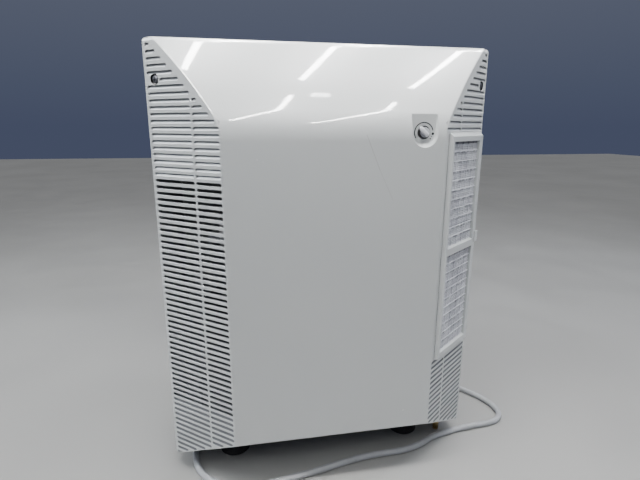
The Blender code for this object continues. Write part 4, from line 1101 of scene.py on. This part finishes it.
def filter_frame():
    """A frame around two windows, with sloped inner borders, a finger tab and a softly rounded rim."""
    place = wing_matrix(SIDES["right"])
    spans = (FILTER_SPAN[0], WINDOW_SPAN[0], WINDOW_SPAN[1], FILTER_SPAN[1])
    heights = (FILTER_Z[0], *WINDOW_ROWS[0], *WINDOW_ROWS[1], FILTER_Z[1])
    back = -0.0003
    bm = bmesh.new()
    grid = [[bm.verts.new((distance, back, z)) for distance in spans] for z in heights]
    for i in range(len(heights) - 1):
        for j in range(len(spans) - 1):
            is_window = j == 1 and i in (1, 3)
            if not is_window:
                bm.faces.new((grid[i][j], grid[i][j + 1], grid[i + 1][j + 1], grid[i + 1][j]))
    lifted = bmesh.ops.extrude_face_region(bm, geom=bm.faces[:])["geom"]
    raised = [item for item in lifted if isinstance(item, bmesh.types.BMVert)]
    slope_in = dict(zip(spans, (0.0012, 0, 0, -0.001)))
    slope_down = dict(zip(heights, (0.0015, -0.0022, 0, -0.0022, 0, -0.0042)))
    for vert in raised:
        nearest = min(spans, key=lambda distance: abs(distance - vert.co.x))
        level = min(heights, key=lambda z: abs(z - vert.co.z))
        vert.co += Vector((slope_in[nearest], -FILTER_PROUD - back, slope_down[level]))
    tab_low = (FILTER_SPAN[1] - TAB_HALF, -FILTER_PROUD - TAB_PROUD, TAB_Z[0])
    tab_high = (FILTER_SPAN[1] + TAB_HALF, TAB_BACK, TAB_Z[1])
    frame_piece = raw("filter_rim", bm)
    bm = bmesh.new()
    add_box(bm, tab_low, tab_high)
    tab = raw("tool_tab", bm)
    union = frame_piece.modifiers.new("tab", "BOOLEAN")
    union.operation = "UNION"
    union.object = tab
    bevel = frame_piece.modifiers.new("rounding", "BEVEL")
    bevel.width = 0.001
    bevel.segments = 4
    bevel.limit_method = "ANGLE"
    bevel.angle_limit = math.radians(40)
    carved(frame_piece, [])
    bpy.data.objects.remove(tab)
    frame_piece.data.transform(place)
    smooth_mesh(frame_piece)
    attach(frame_piece, "filter")
    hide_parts("filter_frame")


def add_thread(bm, place, points, half_width, half_depth, across):
    """A four-sided thread along points in the wing's own directions. Its width goes along or up the wing."""
    width = Vector((half_width, 0, 0) if across == "along" else (0, 0, half_width))
    depth = Vector((0, half_depth, 0))
    corners = ((-1, -1), (1, -1), (1, 1), (-1, 1))
    add_loft(bm, [[place @ (Vector(point) + a * width + b * depth) for a, b in corners] for point in points])


def net(name, node, window):
    """A woven filter net with a moulded grid of stouter ribs in front of it."""
    place = wing_matrix(SIDES["right"])
    low_s, high_s = WINDOW_SPAN[0] - NET_MARGIN, WINDOW_SPAN[1] + NET_MARGIN
    low_z, high_z = window[0] - NET_MARGIN, window[1] + NET_MARGIN
    pitch = 0.0021
    columns = round((high_s - low_s) / pitch)
    rows = round((high_z - low_z) / pitch)
    xs = np.linspace(low_s, high_s, columns + 1)
    zs = np.linspace(low_z, high_z, rows + 1)
    wave = 0.00016
    thread = (0.00027, 0.00027 * 0.7)
    bm = bmesh.new()
    for i, x in enumerate(xs):
        points = [(x, NET_DEPTH + wave * (-1) ** (i + j), z) for j, z in enumerate(zs)]
        add_thread(bm, place, points, *thread, "along")
    for j, z in enumerate(zs):
        points = [(x, NET_DEPTH - wave * (-1) ** (i + j), z) for i, x in enumerate(xs)]
        add_thread(bm, place, points, *thread, "up")
    rib = (0.0006, 0.0003)
    rib_columns = 5
    rib_rows = round((window[1] - window[0]) / RIB_PITCH)
    for x in np.linspace(low_s, high_s, rib_columns + 1)[1:-1]:
        add_thread(bm, place, [(x, NET_DEPTH - 0.0006, z) for z in (low_z, high_z)], *rib, "along")
    for z in np.linspace(window[0], window[1], rib_rows + 1)[1:-1]:
        add_thread(bm, place, [(x, NET_DEPTH - 0.0007, z) for x in (low_s, high_s)], *rib, "up")
    made = finished(name, bm, LOOKS["net_plastic"], "filter", 60)
    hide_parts(node)


# Humidistat


def knob():
    """A slightly dished disc with a soft rim, and a broad pointer that reaches past its edge at one end."""
    face = along((0, 1, 0), (KNOB_X, FRONT_Y, KNOB_Z))
    front = KNOB_FRONT
    bm = bmesh.new()
    rounding, dish = 0.0008, 0.0004
    rim = arc((KNOB_RADIUS - rounding, front + rounding), rounding, -90, 0, 5)
    profile = [(NEAR_AXIS, front + dish), (KNOB_RADIUS * 0.55, front + dish), (KNOB_RADIUS * 0.72, front)]
    add_turned(bm, [*profile, *rim, (KNOB_RADIUS, KNOB_BACK), (NEAR_AXIS, KNOB_BACK)], face, 48)
    disc = finished("knob_disc", bm, LOOKS["knob_plastic"], "knob", 40)
    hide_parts("humidistat_knob")
    bm = bmesh.new()
    turn = face @ Matrix.Rotation(POINTER_TURN, 4, "Z")
    tiers = ((0.0, front + 0.0012), (0.0, front - 0.0006), (0.0003, front - 0.0012), (0.0009, front - 0.0015))
    rings = []
    for shrink, depth in tiers:
        half = POINTER_HALF - shrink
        outline = stadium(POINTER_REACH[0] + shrink, POINTER_REACH[1] - shrink, -half, half, 0.0, 6)
        rings.append([turn @ Vector((x, y, depth)) for x, y in outline])
    add_loft(bm, rings)
    finished("knob_pointer", bm, LOOKS["knob_plastic"], "knob", 50)


def scale_print():
    """The printed arc around the knob, with a dot past its end and two small plain ticks."""
    surface = FRONT_Y + RECESS_FLOOR
    layers = (surface + 0.00005, surface - 0.00012)

    def flat(outline):
        add_loft(bm, [[(KNOB_X + x, y, KNOB_Z + z) for x, z in outline] for y in layers])

    bm = bmesh.new()
    inner, outer, tick_ring = 0.01, 0.0111, 0.0103
    first, last = 214, 12
    dot_place, dot_radius = (0.0105, -0.0013), 0.0014
    flat(arc((0, 0), outer, first, last, 48) + arc((0, 0), inner, last, first, 48))
    flat(arc(dot_place, dot_radius, 0, 345, 23))
    for angle, radius in ((-24, 0.00054), (-40, 0.00078)):
        centre = Vector((math.cos(math.radians(angle)), math.sin(math.radians(angle)))) * tick_ring
        flat(arc(centre, radius, 0, 330, 11))
    finished("humidistat_scale", bm, INK)


# The frame's nodes


def dress_nodes():
    """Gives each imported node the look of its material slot."""
    for entry in frame["record"]["subparts"]:
        obj = NODES[entry["node"]]
        slot = entry["material_slot"]
        obj.data.materials.clear()
        obj.data.materials.append(LOOKS[slot])


make_camera()
lead = mains_lead()
cord_pieces = [*plug(), strain_relief(), "cord_tie"]
make_stage()
front_cover()
filter_frame()
for part, window in zip(("lower", "upper"), WINDOW_ROWS):
    net(f"net_{part}", f"filter_net_{part}", window)
knob()
scale_print()
dress_nodes()
